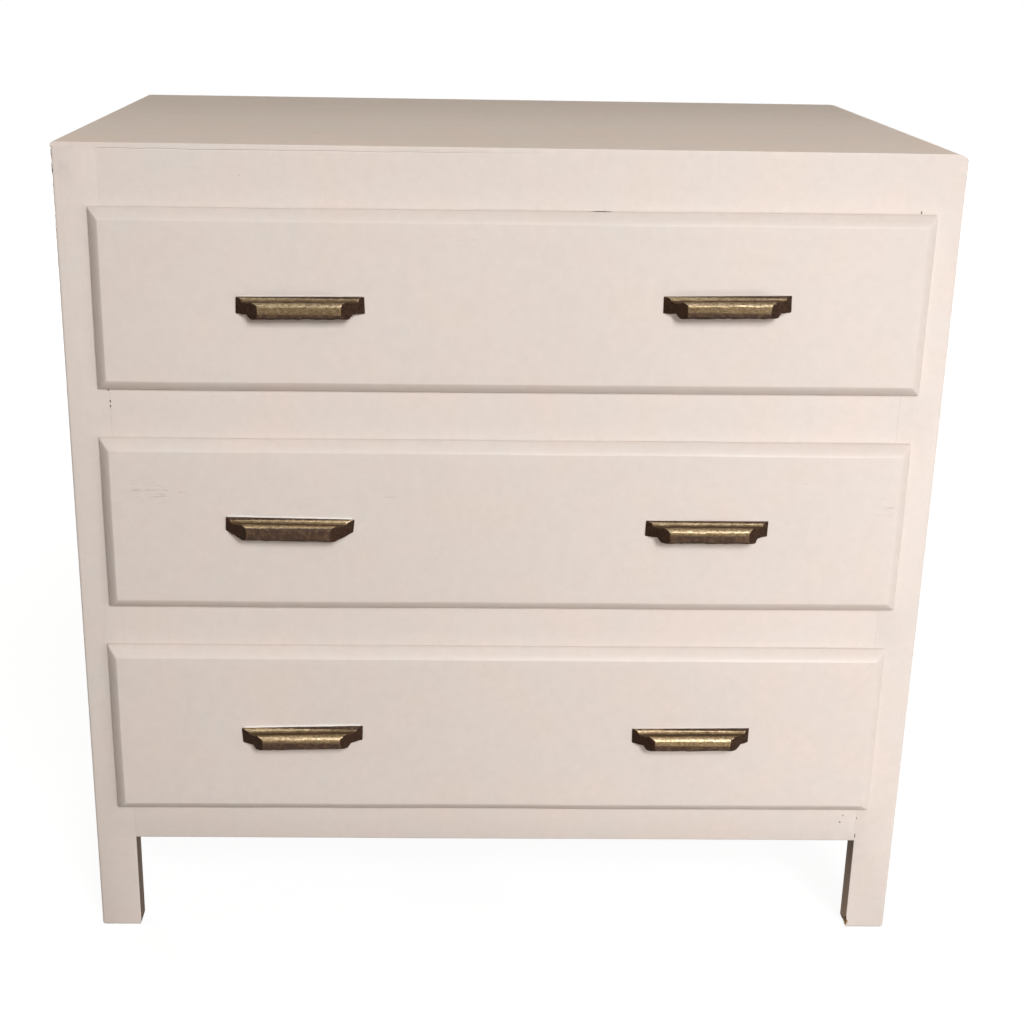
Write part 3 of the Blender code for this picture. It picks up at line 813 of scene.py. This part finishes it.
chipRagged = 0.35                  # against the chip's half size
chipPlaces = (                     # pieces, place on the piece, half sizes, what shows inside
    (("front_post_left", "upper_rail"), (-0.3699, faceY, 0.5663), (0.0008, 0.0010, 0.0009), darkUp),
    (("front_post_left", "upper_rail"), (-0.3699, faceY, 0.5612), (0.0006, 0.0010, 0.0012), darkUp),
    (("front_post_left",), (-0.3712, faceY, 0.5769), (0.0006, 0.0008, 0.0011), darkUp),
    (("front_post_right", "bottom_rail"), (0.3702, faceY, 0.1101), (0.0006, 0.0012, 0.0026), darkUp),
    (("front_post_right", "bottom_rail"), (0.3702, faceY, 0.1306), (0.0005, 0.0010, 0.0012), darkUp),
    (("bottom_rail",), (0.3531, faceY, 0.1258), (0.0009, 0.0012, 0.0009), darkUp),
    (("bottom_rail",), (0.3557, faceY, 0.1334), (0.0007, 0.0010, 0.0007), darkUp),
    (("front_post_right",), (0.3713, faceY, 0.7505), (0.0006, 0.0010, 0.0015), darkUp),
    (("top_rail",), (0.0800, faceY, 0.7474), (0.0110, 0.0018, 0.0010), darkAcross),
    (("top_rail",), (-0.2436, faceY, 0.7759), (0.0007, 0.0003, 0.0004), paleUp),
    (("front_post_left",), (-0.4098, faceY + 0.0006, 0.7798), (0.0014, 0.0018, 0.0045), darkUp),
    (("front_post_left",), (-0.4100, faceY + 0.0010, 0.7925), (0.0010, 0.0016, 0.0030), darkUp),
    (("front_post_right",), (0.3700, faceY + 0.0030, 0.0070), (0.0024, 0.0050, 0.0065), paleUp),
    (("front_post_right",), (0.3696, faceY + 0.0110, 0.0020), (0.0020, 0.0050, 0.0050), darkUp),
)


def chipOut(piece, place, size, inside, seed):
    bpy.ops.mesh.primitive_ico_sphere_add(subdivisions=2, radius=1, location=(0, 0, 0))
    cutter = bpy.context.object
    openMesh(cutter)
    bpy.ops.mesh.select_all(action="SELECT")
    bpy.ops.transform.vertex_random(offset=chipRagged, uniform=1.0, seed=seed)
    bpy.ops.transform.resize(value=size, center_override=(0, 0, 0))
    bpy.ops.transform.translate(value=place)
    closeMesh()
    cutter.data.materials.append(inside)
    carve(piece, cutter)


def crispRims(piece):              # no soft shading from a chip into the face round it
    openMesh(piece)
    bpy.ops.mesh.select_mode(type="FACE")
    for slot in range(1, len(piece.material_slots)):
        piece.active_material_index = slot
        bpy.ops.object.material_slot_select()
    bpy.ops.mesh.region_to_loop()
    bpy.ops.mesh.mark_sharp()
    closeMesh()


for number, (owners, place, size, inside) in enumerate(chipPlaces):
    for owner in owners:
        chipOut(posts.get(owner) or rails[owner], place, size, inside, number)
for node, piece in {**posts, **rails}.items():
    crispRims(piece)
    finishPiece(piece, "carcass", "painted_wood", node)
finishPiece(topBoard, "carcass", "painted_wood", "top_panel")
print("chips:", len(chipPlaces))


# Back of plywood, held by pins

backShape = {
    "pinRadius": 0.0016,
    "pinSides": 14,
    "pinDepth": 0.002,
    "pinSink": 0.0003,
    "pinInset": 0.008,
    "pinSpacing": 0.11,
}


def makeBack():
    low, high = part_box("back_panel")
    piece = fromNode("back_panel", "back_panel_plywood")
    dress(piece, (veneerUp, plyBack, steel), lambda middle, normal: 0 if abs(normal.y) > 0.5 else 1)
    inset, spacing = backShape["pinInset"], backShape["pinSpacing"]
    along = lambda start, end: [start + (end - start) * (step + 0.5) / round((end - start) / spacing)
                                for step in range(round((end - start) / spacing))]
    places = [(x, z) for z in (low.z + inset, high.z - inset) for x in along(low.x, high.x)]
    places += [(x, z) for x in (low.x + inset, high.x - inset) for z in along(low.z, high.z)]
    for x, z in places:
        bpy.ops.mesh.primitive_cylinder_add(vertices=backShape["pinSides"], radius=backShape["pinRadius"],
                                            depth=backShape["pinDepth"], location=(x, high.y, z),
                                            rotation=(math.radians(90), 0, 0))
        cutter = bpy.context.object
        bpy.ops.object.transform_apply(location=True, rotation=True, scale=True)
        openMesh(cutter)
        bpy.ops.mesh.select_all(action="SELECT")
        bpy.ops.transform.translate(value=(0, backShape["pinDepth"] / 2 - backShape["pinSink"], 0))
        closeMesh()
        cutter.data.materials.append(steel)
        carve(piece, cutter)       # the pin's head, driven just under the face
    finishPiece(piece, "carcass", "plywood", "back_panel")
    return len(places)


print("back pins:", makeBack())


# Inner wood that keeps its solid: rear rails, runners and side rails

innerRails = [drawer + "_runner" for drawer in drawers] + ["top_side_rail"]
innerLooks = {"rear_top_rail": darkAcross, "rear_bottom_rail": darkAcross}
innerLooks.update({name + "_" + side: paleDeep for name in innerRails for side in sides})
for node, look in innerLooks.items():
    frame["nodes"][node].data.materials.clear()
    frame["nodes"][node].data.materials.append(look)


# Drawer fronts: a lipped board with a broad chamfer, worn soft at every arris

frontShape = {
    "border": 0.0125,              # lip and chamfer, seen from the front
    "lipFrom": 0.011,              # the back of the lip lies further behind the face than this
    "mitreFrom": 0.0025,
    "mitreTurn": 0.3,              # mitres run this far front to back, the lip's edges less than lipTurn
    "lipTurn": 0.1,
    "faceArris": 0.0010,
    "lipArris": 0.0015,
    "mitreEase": 0.0012,           # corners of the lip and the mitres above them
    "arrisSteps": 3,
    "wave": 0.0010,                # hand-planed edges wander this much
    "waveLength": 0.13,
    "waveLengthAcross": 0.104,
    "faceWave": 0.0004,
    "faceWaveLength": 0.078,
    "faceReach": 0.004,
    "cuts": 0.02,
    "chamferDepth": 0.0105,
    "belly": 0.0014,               # the chamfer swells this much at its middle
    "bellyCuts": (0.15, 0.35, 0.55, 0.75, 0.9),
}
hung = {                           # how each front sits: across, up, rise from left to right
    "top_drawer": (0.0012, -0.0004, 0.0020),
    "middle_drawer": (0.0012, -0.0009, 0.0016),
    "bottom_drawer": (0.0009, -0.0011, 0.0010),
}


def makeFront(drawer):
    node = drawer + "_front"
    shape = frontShape
    low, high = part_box(node)
    lipFront = low.y
    solid = frame["nodes"][node].data
    lipBack = min(vert.co.y for vert in solid.vertices if vert.co.y > lipFront + shape["lipFrom"])
    border, depth, steps = shape["border"], shape["chamferDepth"], shape["arrisSteps"]
    across, up, rise = hung[drawer]
    piece = fromNode(node, node + "_painted")

    def onFace(middle, along):     # the arris between the chamfer and the face
        return middle.y < lipFront + tiny

    def onLip(middle):             # the lip's outer edges
        insideX = low.x + border < middle.x < high.x - border
        insideZ = low.z + border < middle.z < high.z - border
        onEdge = lipFront + shape["mitreFrom"] < middle.y < lipBack - tiny
        return onEdge and not (insideX and insideZ)

    def onFront(place):
        return 1 if place.y < lipBack + tiny else 0

    def hang(place):
        if onFront(place):
            share = min(1.0, (place.y - lipFront) / depth)
            place.y -= shape["belly"] * 4 * share * (1 - share)
            place.z += up + rise * place.x / (high.x - low.x)
            place.x += across

    ease(piece, lambda middle, along: onLip(middle) and abs(along.y) > shape["mitreTurn"],
         shape["mitreEase"], steps)
    ease(piece, onFace, shape["faceArris"], steps)
    ease(piece, lambda middle, along: onLip(middle) and abs(along.y) < shape["lipTurn"],
         shape["lipArris"], steps)
    for share in shape["bellyCuts"]:
        cutAt(1, lipFront + depth * share)
    cutBetween(0, low.x, high.x, shape["cuts"])
    cutBetween(2, low.z, high.z, shape["cuts"])
    shiftPoints(piece, hang)
    waver(piece, "edges_up", "Z", shape["wave"], shape["waveLength"], onFront)
    waver(piece, "edges_across", "X", shape["wave"], shape["waveLengthAcross"], onFront)
    waver(piece, "face", "Y", shape["faceWave"], shape["faceWaveLength"],
          lambda place: 1 if place.y < lipFront + shape["faceReach"] else 0)
    dress(piece, (paintFronts, paleAcross), lambda middle, normal: 0 if middle.y < lipBack - tiny else 1)
    finishPiece(piece, drawer, "painted_wood", node)
    return lipFront


frontFaceY = [makeFront(drawer) for drawer in drawers][0]
print("drawer fronts:", len(drawers))


# Drawer boxes of pale wood on plywood bottoms

boxShape = {"rimEase": 0.0016, "edgeEase": 0.0006}


def makeBoxBoard(node, look, axis):
    low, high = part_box(node)
    piece = fromNode(node, node + "_board")
    ease(piece, lambda middle, along: abs(middle.z - high.z) < tiny and abs(along[axis]) > mostly,
         boxShape["rimEase"])
    ease(piece, lambda middle, along: abs(middle.z - low.z) < tiny and abs(along[axis]) > mostly,
         boxShape["edgeEase"], 2)
    dress(piece, (look,), lambda middle, normal: 0)
    finishPiece(piece, bodyOf[node], "pale_wood", node)


def makeBottom(node):
    piece = fromNode(node, node + "_board")
    dress(piece, (veneerAcross, plyBottom), lambda middle, normal: 0 if abs(normal.z) > 0.5 else 1)
    finishPiece(piece, bodyOf[node], "plywood", node)


for drawer in drawers:
    for side in sides:
        makeBoxBoard(drawer + "_side_" + side, paleDeep, 1)
    makeBoxBoard(drawer + "_back", paleAcross, 0)
    makeBottom(drawer + "_bottom")
print("drawer boxes:", len(drawers))


# Pulls: a moulded bar with slanted ends and a finger pocket, gilt over dark brown

pullShape = {
    "plateEdge": 0.0015,
    "lipDepth": 0.0050,
    "lipDrop": 0.0028,
    "coveSag": 0.0015,
    "noseStart": 0.0120,
    "noseRound": 0.0045,
    "noseUnderStart": 0.0125,
    "noseHang": 0.0027,
    "footDepth": 0.0085,
    "footRise": 0.0012,
    "noseFoot": 0.0110,
    "plainFoot": 0.0052,           # underside of the odd pull, straight to the nose
    "slant": 0.0213,
    "spare": 0.001,                # at each end, until the ends are cut
    "arcSteps": 9,
    "rimEase": 0.0007,
    "cuts": 0.0024,
    "cutInset": 0.002,
    "pocketBack": 0.0036,
    "pocketFront": 0.0057,
    "pocketRoof": 0.0112,
    "pocketHalf": 0.0382,
    "pocketEase": 0.002,
    "pocketBelow": 0.002,          # the cutter starts this far under the pull
    "beaten": 0.00035,
    "beatenGrain": 0.0030,
    "worn": 0.0024,
    "wornGrain": 0.0060,
    "wornReach": 0.002,
    "wornUp": 0.0012,
    "wornUpGrain": 0.0084,
    "seat": 0.0001,                # against the drawer front, left flat
    "endTurn": 0.42,               # faces that look this far aside, down or back are plain brown
    "underTurn": 0.6,
    "backTurn": 0.3,
}
# for each pull: mm of gold below the top edge, how softly the gold ends, its lustre,
# height of the paint bead, degrees out of level, length against its solid
pullFinish = {
    ("top_drawer", "left"): (12.8, 1.2, 0.66, 0.0008, 0.65, 1.0),
    ("top_drawer", "right"): (12.2, 1.2, 0.64, 0.0004, 1.0, 1.0),
    ("middle_drawer", "left"): (4.3, 0.9, 1.0, 0.0014, -0.7, 1.038),
    ("middle_drawer", "right"): (8.9, 2.2, 0.72, 0.0004, 0.25, 1.0),
    ("bottom_drawer", "left"): (8.7, 3.0, 1.0, 0.0014, 1.5, 1.016),
    ("bottom_drawer", "right"): (11.0, 1.4, 1.0, 0.0004, 0.75, 1.0),
}
oddPull = ("middle_drawer", "left")


def hangOut(piece, middle, degrees, length):   # set by hand, a little out of level
    openMesh(piece)
    bpy.ops.mesh.select_all(action="SELECT")
    bpy.ops.transform.resize(value=(length, 1, 1), center_override=middle)
    bpy.ops.transform.rotate(value=math.radians(degrees), orient_axis="Y", center_override=middle)
    closeMesh()


def arc(middle, radii, start, end):
    steps = pullShape["arcSteps"]
    turns = [math.radians(start + (end - start) * step / steps) for step in range(steps + 1)]
    return [(middle[0] + radii[0] * math.cos(turn), middle[1] + radii[1] * math.sin(turn)) for turn in turns]


def pullSection(height, depth, plain):   # (out, up) points round the moulding
    shape = pullShape
    lipFoot = height - shape["lipDrop"]
    lipReach = shape["lipDepth"] - shape["plateEdge"]
    coveMiddle = (shape["lipDepth"] + shape["noseStart"]) / 2
    noseReach = depth - shape["noseStart"]
    noseMiddle = lipFoot - shape["noseRound"]
    points = [(0, height)]
    points += arc((shape["plateEdge"], lipFoot), (lipReach, shape["lipDrop"]), 90, 0)
    points += arc((coveMiddle, lipFoot), (shape["noseStart"] - coveMiddle, shape["coveSag"]), 180, 360)[1:]
    points += arc((shape["noseStart"], noseMiddle), (noseReach, shape["noseRound"]), 90, 0)[1:]
    points += arc((shape["noseUnderStart"], shape["noseRound"]),
                  (depth - shape["noseUnderStart"], shape["noseRound"]), 0, -90)
    if plain:
        return points + [(0, shape["plainFoot"])]
    foot = shape["noseHang"] + shape["footRise"]
    return points + [(shape["noseFoot"], 0), (shape["footDepth"], foot), (0, shape["noseHang"])]


def makePull(drawer, side):
    node = drawer + "_pull_" + side
    low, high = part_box(node)
    shape = pullShape
    goldEnd, fade, lustre = pullFinish[drawer, side][:3]
    degrees, length = pullFinish[drawer, side][4:]
    middleX = (low.x + high.x) / 2
    half = (high.x - low.x) / 2
    depth = high.y - low.y - shape["beaten"] / 2
    section = pullSection(high.z - low.z, depth, (drawer, side) == oddPull)
    bpy.ops.mesh.primitive_circle_add(vertices=len(section), radius=depth, fill_type="NGON",
                                      location=(0, 0, 0))
    piece = bpy.context.object
    piece.name = node + "_gilt"
    for vert, (out, up) in zip(piece.data.vertices, section):
        vert.co = (low.x - shape["spare"], high.y - out, low.z + up)
    openMesh(piece)
    bpy.ops.mesh.select_all(action="SELECT")
    bpy.ops.mesh.extrude_region_move(TRANSFORM_OT_translate={"value": (2 * half + 2 * shape["spare"], 0, 0)})
    bpy.ops.mesh.select_all(action="SELECT")
    bpy.ops.mesh.normals_make_consistent(inside=False)
    for sign in (-1, 1):           # the ends slant in towards the nose
        bpy.ops.mesh.select_all(action="SELECT")
        slope = Vector((sign, -shape["slant"] / depth, 0)).normalized()
        bpy.ops.mesh.bisect(plane_co=(middleX + sign * half, high.y, low.z), plane_no=slope, clear_outer=True,
                            use_fill=True, threshold=cutSlack)

    def fromEnd(place):            # how far inside the nearer slanted end
        return half - shape["slant"] * (high.y - place.y) / depth - abs(place.x - middleX)

    ease(piece, lambda middle, along: abs(fromEnd(middle)) < tiny, shape["rimEase"], 2)
    cutBetween(0, low.x + shape["cutInset"], high.x - shape["cutInset"], shape["cuts"])
    waver(piece, "beaten", "NORMAL", shape["beaten"], shape["beatenGrain"], lambda place: 1)
    waver(piece, "worn_across", "X", shape["worn"], shape["wornGrain"],
          lambda place: fromEnd(place) < shape["wornReach"])
    waver(piece, "worn_up", "Z", shape["wornUp"], shape["wornUpGrain"],
          lambda place: place.y < high.y - shape["seat"])
    pocketLow = Vector((middleX - shape["pocketHalf"], low.y + shape["pocketFront"],
                        low.z - shape["pocketBelow"]))
    pocketHigh = Vector((middleX + shape["pocketHalf"], high.y - shape["pocketBack"],
                         low.z + shape["pocketRoof"]))
    cutter = newBlock("pocket", pocketLow, pocketHigh)
    ease(cutter, lambda middle, along: middle.z > low.z, shape["pocketEase"], 3)
    closeMesh()
    carve(piece, cutter)
    hangOut(piece, (low + high) / 2, degrees, length)

    def choose(middle, normal):
        atEnd = abs(normal.x) > shape["endTurn"]
        return 1 if atEnd or normal.z < -shape["underTurn"] or normal.y > shape["backTurn"] else 0

    gold = agedGiltPaintedLight(node + "_gilt", (middleX, high.y, high.z), goldEnd, fade, lustre)
    dress(piece, (gold, darkEnds), choose)
    finishPiece(piece, drawer, "brass", node)


# Paint left standing along the upper edge of each pull

beadShape = {
    "out": 0.0011,
    "sink": 0.0004,                # into the drawer front
    "above": 0.0001,               # the pull
    "ends": 0.0025,                # short of the pull's ends
    "ease": 0.45,                  # against its height
    "cuts": 0.003,
    "uneven": 0.5,                 # against its height
    "unevenGrain": 0.006,
    "unevenGrainOut": 0.0048,
    "unevenFrom": 0.0003,
    "bright": 0.001,               # higher beads get whiter paint, a painted highlight along the pull's top edge
}


def makeBead(drawer, side):
    node = drawer + "_pull_" + side
    shape = beadShape
    pullLow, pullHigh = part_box(node)
    rise, degrees, length = pullFinish[drawer, side][3:]
    foot = pullHigh.z + shape["above"]
    low = Vector((pullLow.x + shape["ends"], frontFaceY - shape["out"], foot))
    high = Vector((pullHigh.x - shape["ends"], frontFaceY + shape["sink"], foot + rise))
    piece = newBlock(node + "_paint_bead", low, high)
    ease(piece, lambda middle, along: middle.y < low.y + tiny, min(rise, shape["out"]) * shape["ease"], 3)
    cutBetween(0, low.x, high.x, shape["cuts"])
    waver(piece, "uneven", "Z", shape["uneven"] * rise, shape["unevenGrain"],
          lambda place: 1 if place.z > low.z + rise / 2 else 0)
    waver(piece, "uneven_out", "Y", shape["uneven"] * rise, shape["unevenGrainOut"],
          lambda place: 1 if place.y < frontFaceY - shape["unevenFrom"] else 0)
    hangOut(piece, (pullLow + pullHigh) / 2, degrees, length)
    # the higher beads get the whiter paint, a painted highlight; the rest take the fronts' paint
    dress(piece, (beadHighlightPaint if rise > shape["bright"] else paintFronts,), lambda middle, normal: 0)
    finishPiece(piece, drawer, "painted_wood")


for drawer in drawers:
    for side in sides:
        makePull(drawer, side)
        makeBead(drawer, side)
print("pulls:", len(pullFinish))


# Slotted screws that hold the pulls, modelled once and copied

screwShape = {
    "headHeight": 0.0028,
    "headRound": 0.0011,
    "headSides": 32,
    "shankRadius": 0.0020,
    "slotWidth": 0.0011,
    "slotDepth": 0.0012,
    "slotSpare": 0.001,            # the slot's cutter reaches this far past the head
}


def modelScrew(node):
    low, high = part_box(node)
    shape = screwShape
    x, z = (low.x + high.x) / 2, (low.z + high.z) / 2
    radius = (high.x - low.x) / 2
    headLow = high.y - shape["headHeight"]
    bpy.ops.mesh.primitive_cylinder_add(vertices=shape["headSides"], radius=radius, depth=shape["headHeight"],
                                        location=(x, (headLow + high.y) / 2, z),
                                        rotation=(math.radians(90), 0, 0))
    piece = bpy.context.object
    bpy.ops.object.transform_apply(location=True, rotation=True, scale=True)
    openMesh(piece)
    pickFaces(piece, lambda middle, normal: normal.y < -mostly)
    bpy.ops.mesh.inset(thickness=radius - shape["shankRadius"])
    bpy.ops.mesh.extrude_region_move(TRANSFORM_OT_translate={"value": (0, low.y - headLow, 0)})
    ease(piece, lambda middle, along: abs(middle.y - high.y) < tiny, shape["headRound"], 4)
    spare, halfSlot = shape["slotSpare"], shape["slotWidth"] / 2
    cutter = newBlock("slot", Vector((low.x - spare, high.y - shape["slotDepth"], z - halfSlot)),
                      Vector((high.x + spare, high.y + spare, z + halfSlot)))
    closeMesh()
    cutter.data.materials.append(steel)
    dress(piece, (steel,), lambda middle, normal: 0)
    carve(piece, cutter)
    return piece


screwNodes = [f"{drawer}_pull_{side}_screw_{end}" for drawer in drawers for side in sides for end in sides]
pattern = modelScrew(screwNodes[0])
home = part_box(screwNodes[0])[0]
for node in screwNodes:
    screw = bpy.data.objects.new(node + "_slotted", pattern.data.copy())
    bpy.context.scene.collection.objects.link(screw)
    screw.data.transform(Matrix.Translation(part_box(node)[0] - home))
    finishPiece(screw, bodyOf[node], "steel", node)
bpy.data.objects.remove(pattern, do_unlink=True)
print("screws:", len(screwNodes))


# Floor, light and camera

floorLook = {
    "size": 60.0,
    "bounce": (0.19, 0.15, 0.115),   # what it throws back on the commode
    "shade": 0.12,
    "near": 0.93,
    "far": 1.0,
    "nearReach": 0.7,
    "farReach": 3.0,
}


def whiteFloor():
    bpy.ops.mesh.primitive_plane_add(size=floorLook["size"], location=(0, 0, 0))
    floor = bpy.context.object
    floor.name = "floor"
    look = bpy.data.materials.new("pale_floor")
    look.use_nodes = True
    tree = look.node_tree
    tree.nodes.clear()
    end = tree.nodes.new("ShaderNodeOutputMaterial")
    bounce = tree.nodes.new("ShaderNodeBsdfDiffuse")
    bounce.inputs["Color"].default_value = (*floorLook["bounce"], 1)
    shade = tree.nodes.new("ShaderNodeBsdfDiffuse")
    shade.inputs["Color"].default_value = (floorLook["shade"],) * 3 + (1,)
    glow = tree.nodes.new("ShaderNodeEmission")
    reach = tree.nodes.new("ShaderNodeVectorMath")
    reach.operation = "LENGTH"
    tree.links.new(objectSpace(tree), reach.inputs[0])
    strength = spread(tree, reach.outputs["Value"], floorLook["nearReach"], floorLook["farReach"],
                      floorLook["near"], floorLook["far"])
    tree.links.new(strength, glow.inputs["Strength"])
    both = tree.nodes.new("ShaderNodeAddShader")
    tree.links.new(shade.outputs["BSDF"], both.inputs[0])
    tree.links.new(glow.outputs["Emission"], both.inputs[1])
    choice = tree.nodes.new("ShaderNodeMixShader")
    tree.links.new(seenAsItIs(tree), choice.inputs["Fac"])
    tree.links.new(bounce.outputs["BSDF"], choice.inputs[1])
    tree.links.new(both.outputs["Shader"], choice.inputs[2])
    tree.links.new(choice.outputs["Shader"], end.inputs["Surface"])
    floor.data.materials.append(look)


studio = {
    "roomColour": (1.0, 0.80, 0.60),
    "roomLight": 0.17,
    "aim": (0.0, 0.0, 0.45),
    "key": {"power": 190.0, "colour": (0.965, 0.985, 1.0), "size": 1.6, "place": (1.25, -4.3, 2.85)},
    "side": {"power": 9.3, "colour": (1.0, 0.98, 0.98), "size": 0.6, "place": (0.95, -1.25, 0.05)},
    "backLeft": {"power": 130.0, "colour": (1.0, 1.0, 1.0), "size": 0.6, "place": (-2.4, 2.6, 0.3)},
    "backRight": {"power": 58.0, "colour": (1.0, 1.0, 1.0), "size": 0.6, "place": (2.6, 2.0, 0.3)},
}


def areaLamp(name):
    wanted = studio[name]
    lamp = bpy.data.lights.new(name, "AREA")
    lamp.energy = wanted["power"]
    lamp.color = wanted["colour"]
    lamp.size = wanted["size"]
    holder = bpy.data.objects.new(name, lamp)
    bpy.context.scene.collection.objects.link(holder)
    holder.location = wanted["place"]
    holder.rotation_euler = (Vector(studio["aim"]) - holder.location).to_track_quat("-Z", "Y").to_euler()


def whiteRoom():
    room = bpy.data.worlds.new("room")
    bpy.context.scene.world = room
    room.use_nodes = True
    tree = room.node_tree
    tree.nodes.clear()
    end = tree.nodes.new("ShaderNodeOutputWorld")
    light = tree.nodes.new("ShaderNodeBackground")
    light.inputs["Color"].default_value = (*studio["roomColour"], 1)
    light.inputs["Strength"].default_value = studio["roomLight"]
    white = tree.nodes.new("ShaderNodeBackground")
    white.inputs["Color"].default_value = (1, 1, 1, 1)
    white.inputs["Strength"].default_value = 1.0
    choice = tree.nodes.new("ShaderNodeMixShader")
    tree.links.new(seenAsItIs(tree), choice.inputs["Fac"])
    tree.links.new(light.outputs["Background"], choice.inputs[1])
    tree.links.new(white.outputs["Background"], choice.inputs[2])
    tree.links.new(choice.outputs["Shader"], end.inputs["Surface"])


view = {
    "eyeBefore": 1.4630,           # in front of the frame's face
    "eyeX": -0.0618,
    "eyeZ": 0.9657,
    "turn": -1.002,                # degrees about Z, Y and X
    "roll": -0.912,
    "tilt": -19.059,
    "focalPixels": 1616.1,         # on a frame of 1024 by 1024
    "framePixels": 1024,
    "shiftPixels": 37,
    "sensor": 36.0,
}


def addCamera():
    data = bpy.data.cameras.new("camera")
    holder = bpy.data.objects.new("camera", data)
    bpy.context.scene.collection.objects.link(holder)
    turned = Matrix.Rotation(math.radians(view["turn"]), 3, "Z")
    turned = turned @ Matrix.Rotation(math.radians(view["roll"]), 3, "Y")
    turned = turned @ Matrix.Rotation(math.radians(view["tilt"]), 3, "X")
    right, forward, up = turned.col
    place = Matrix((right, up, -forward)).transposed().to_4x4()
    place.translation = Vector((view["eyeX"], faceY - view["eyeBefore"], view["eyeZ"]))
    holder.matrix_world = place
    data.sensor_width = view["sensor"]
    data.lens = view["focalPixels"] / view["framePixels"] * view["sensor"]
    data.shift_x = view["shiftPixels"] / view["framePixels"]
    bpy.context.scene.camera = holder


whiteFloor()
whiteRoom()
for name in ("key", "side", "backLeft", "backRight"):
    areaLamp(name)
addCamera()
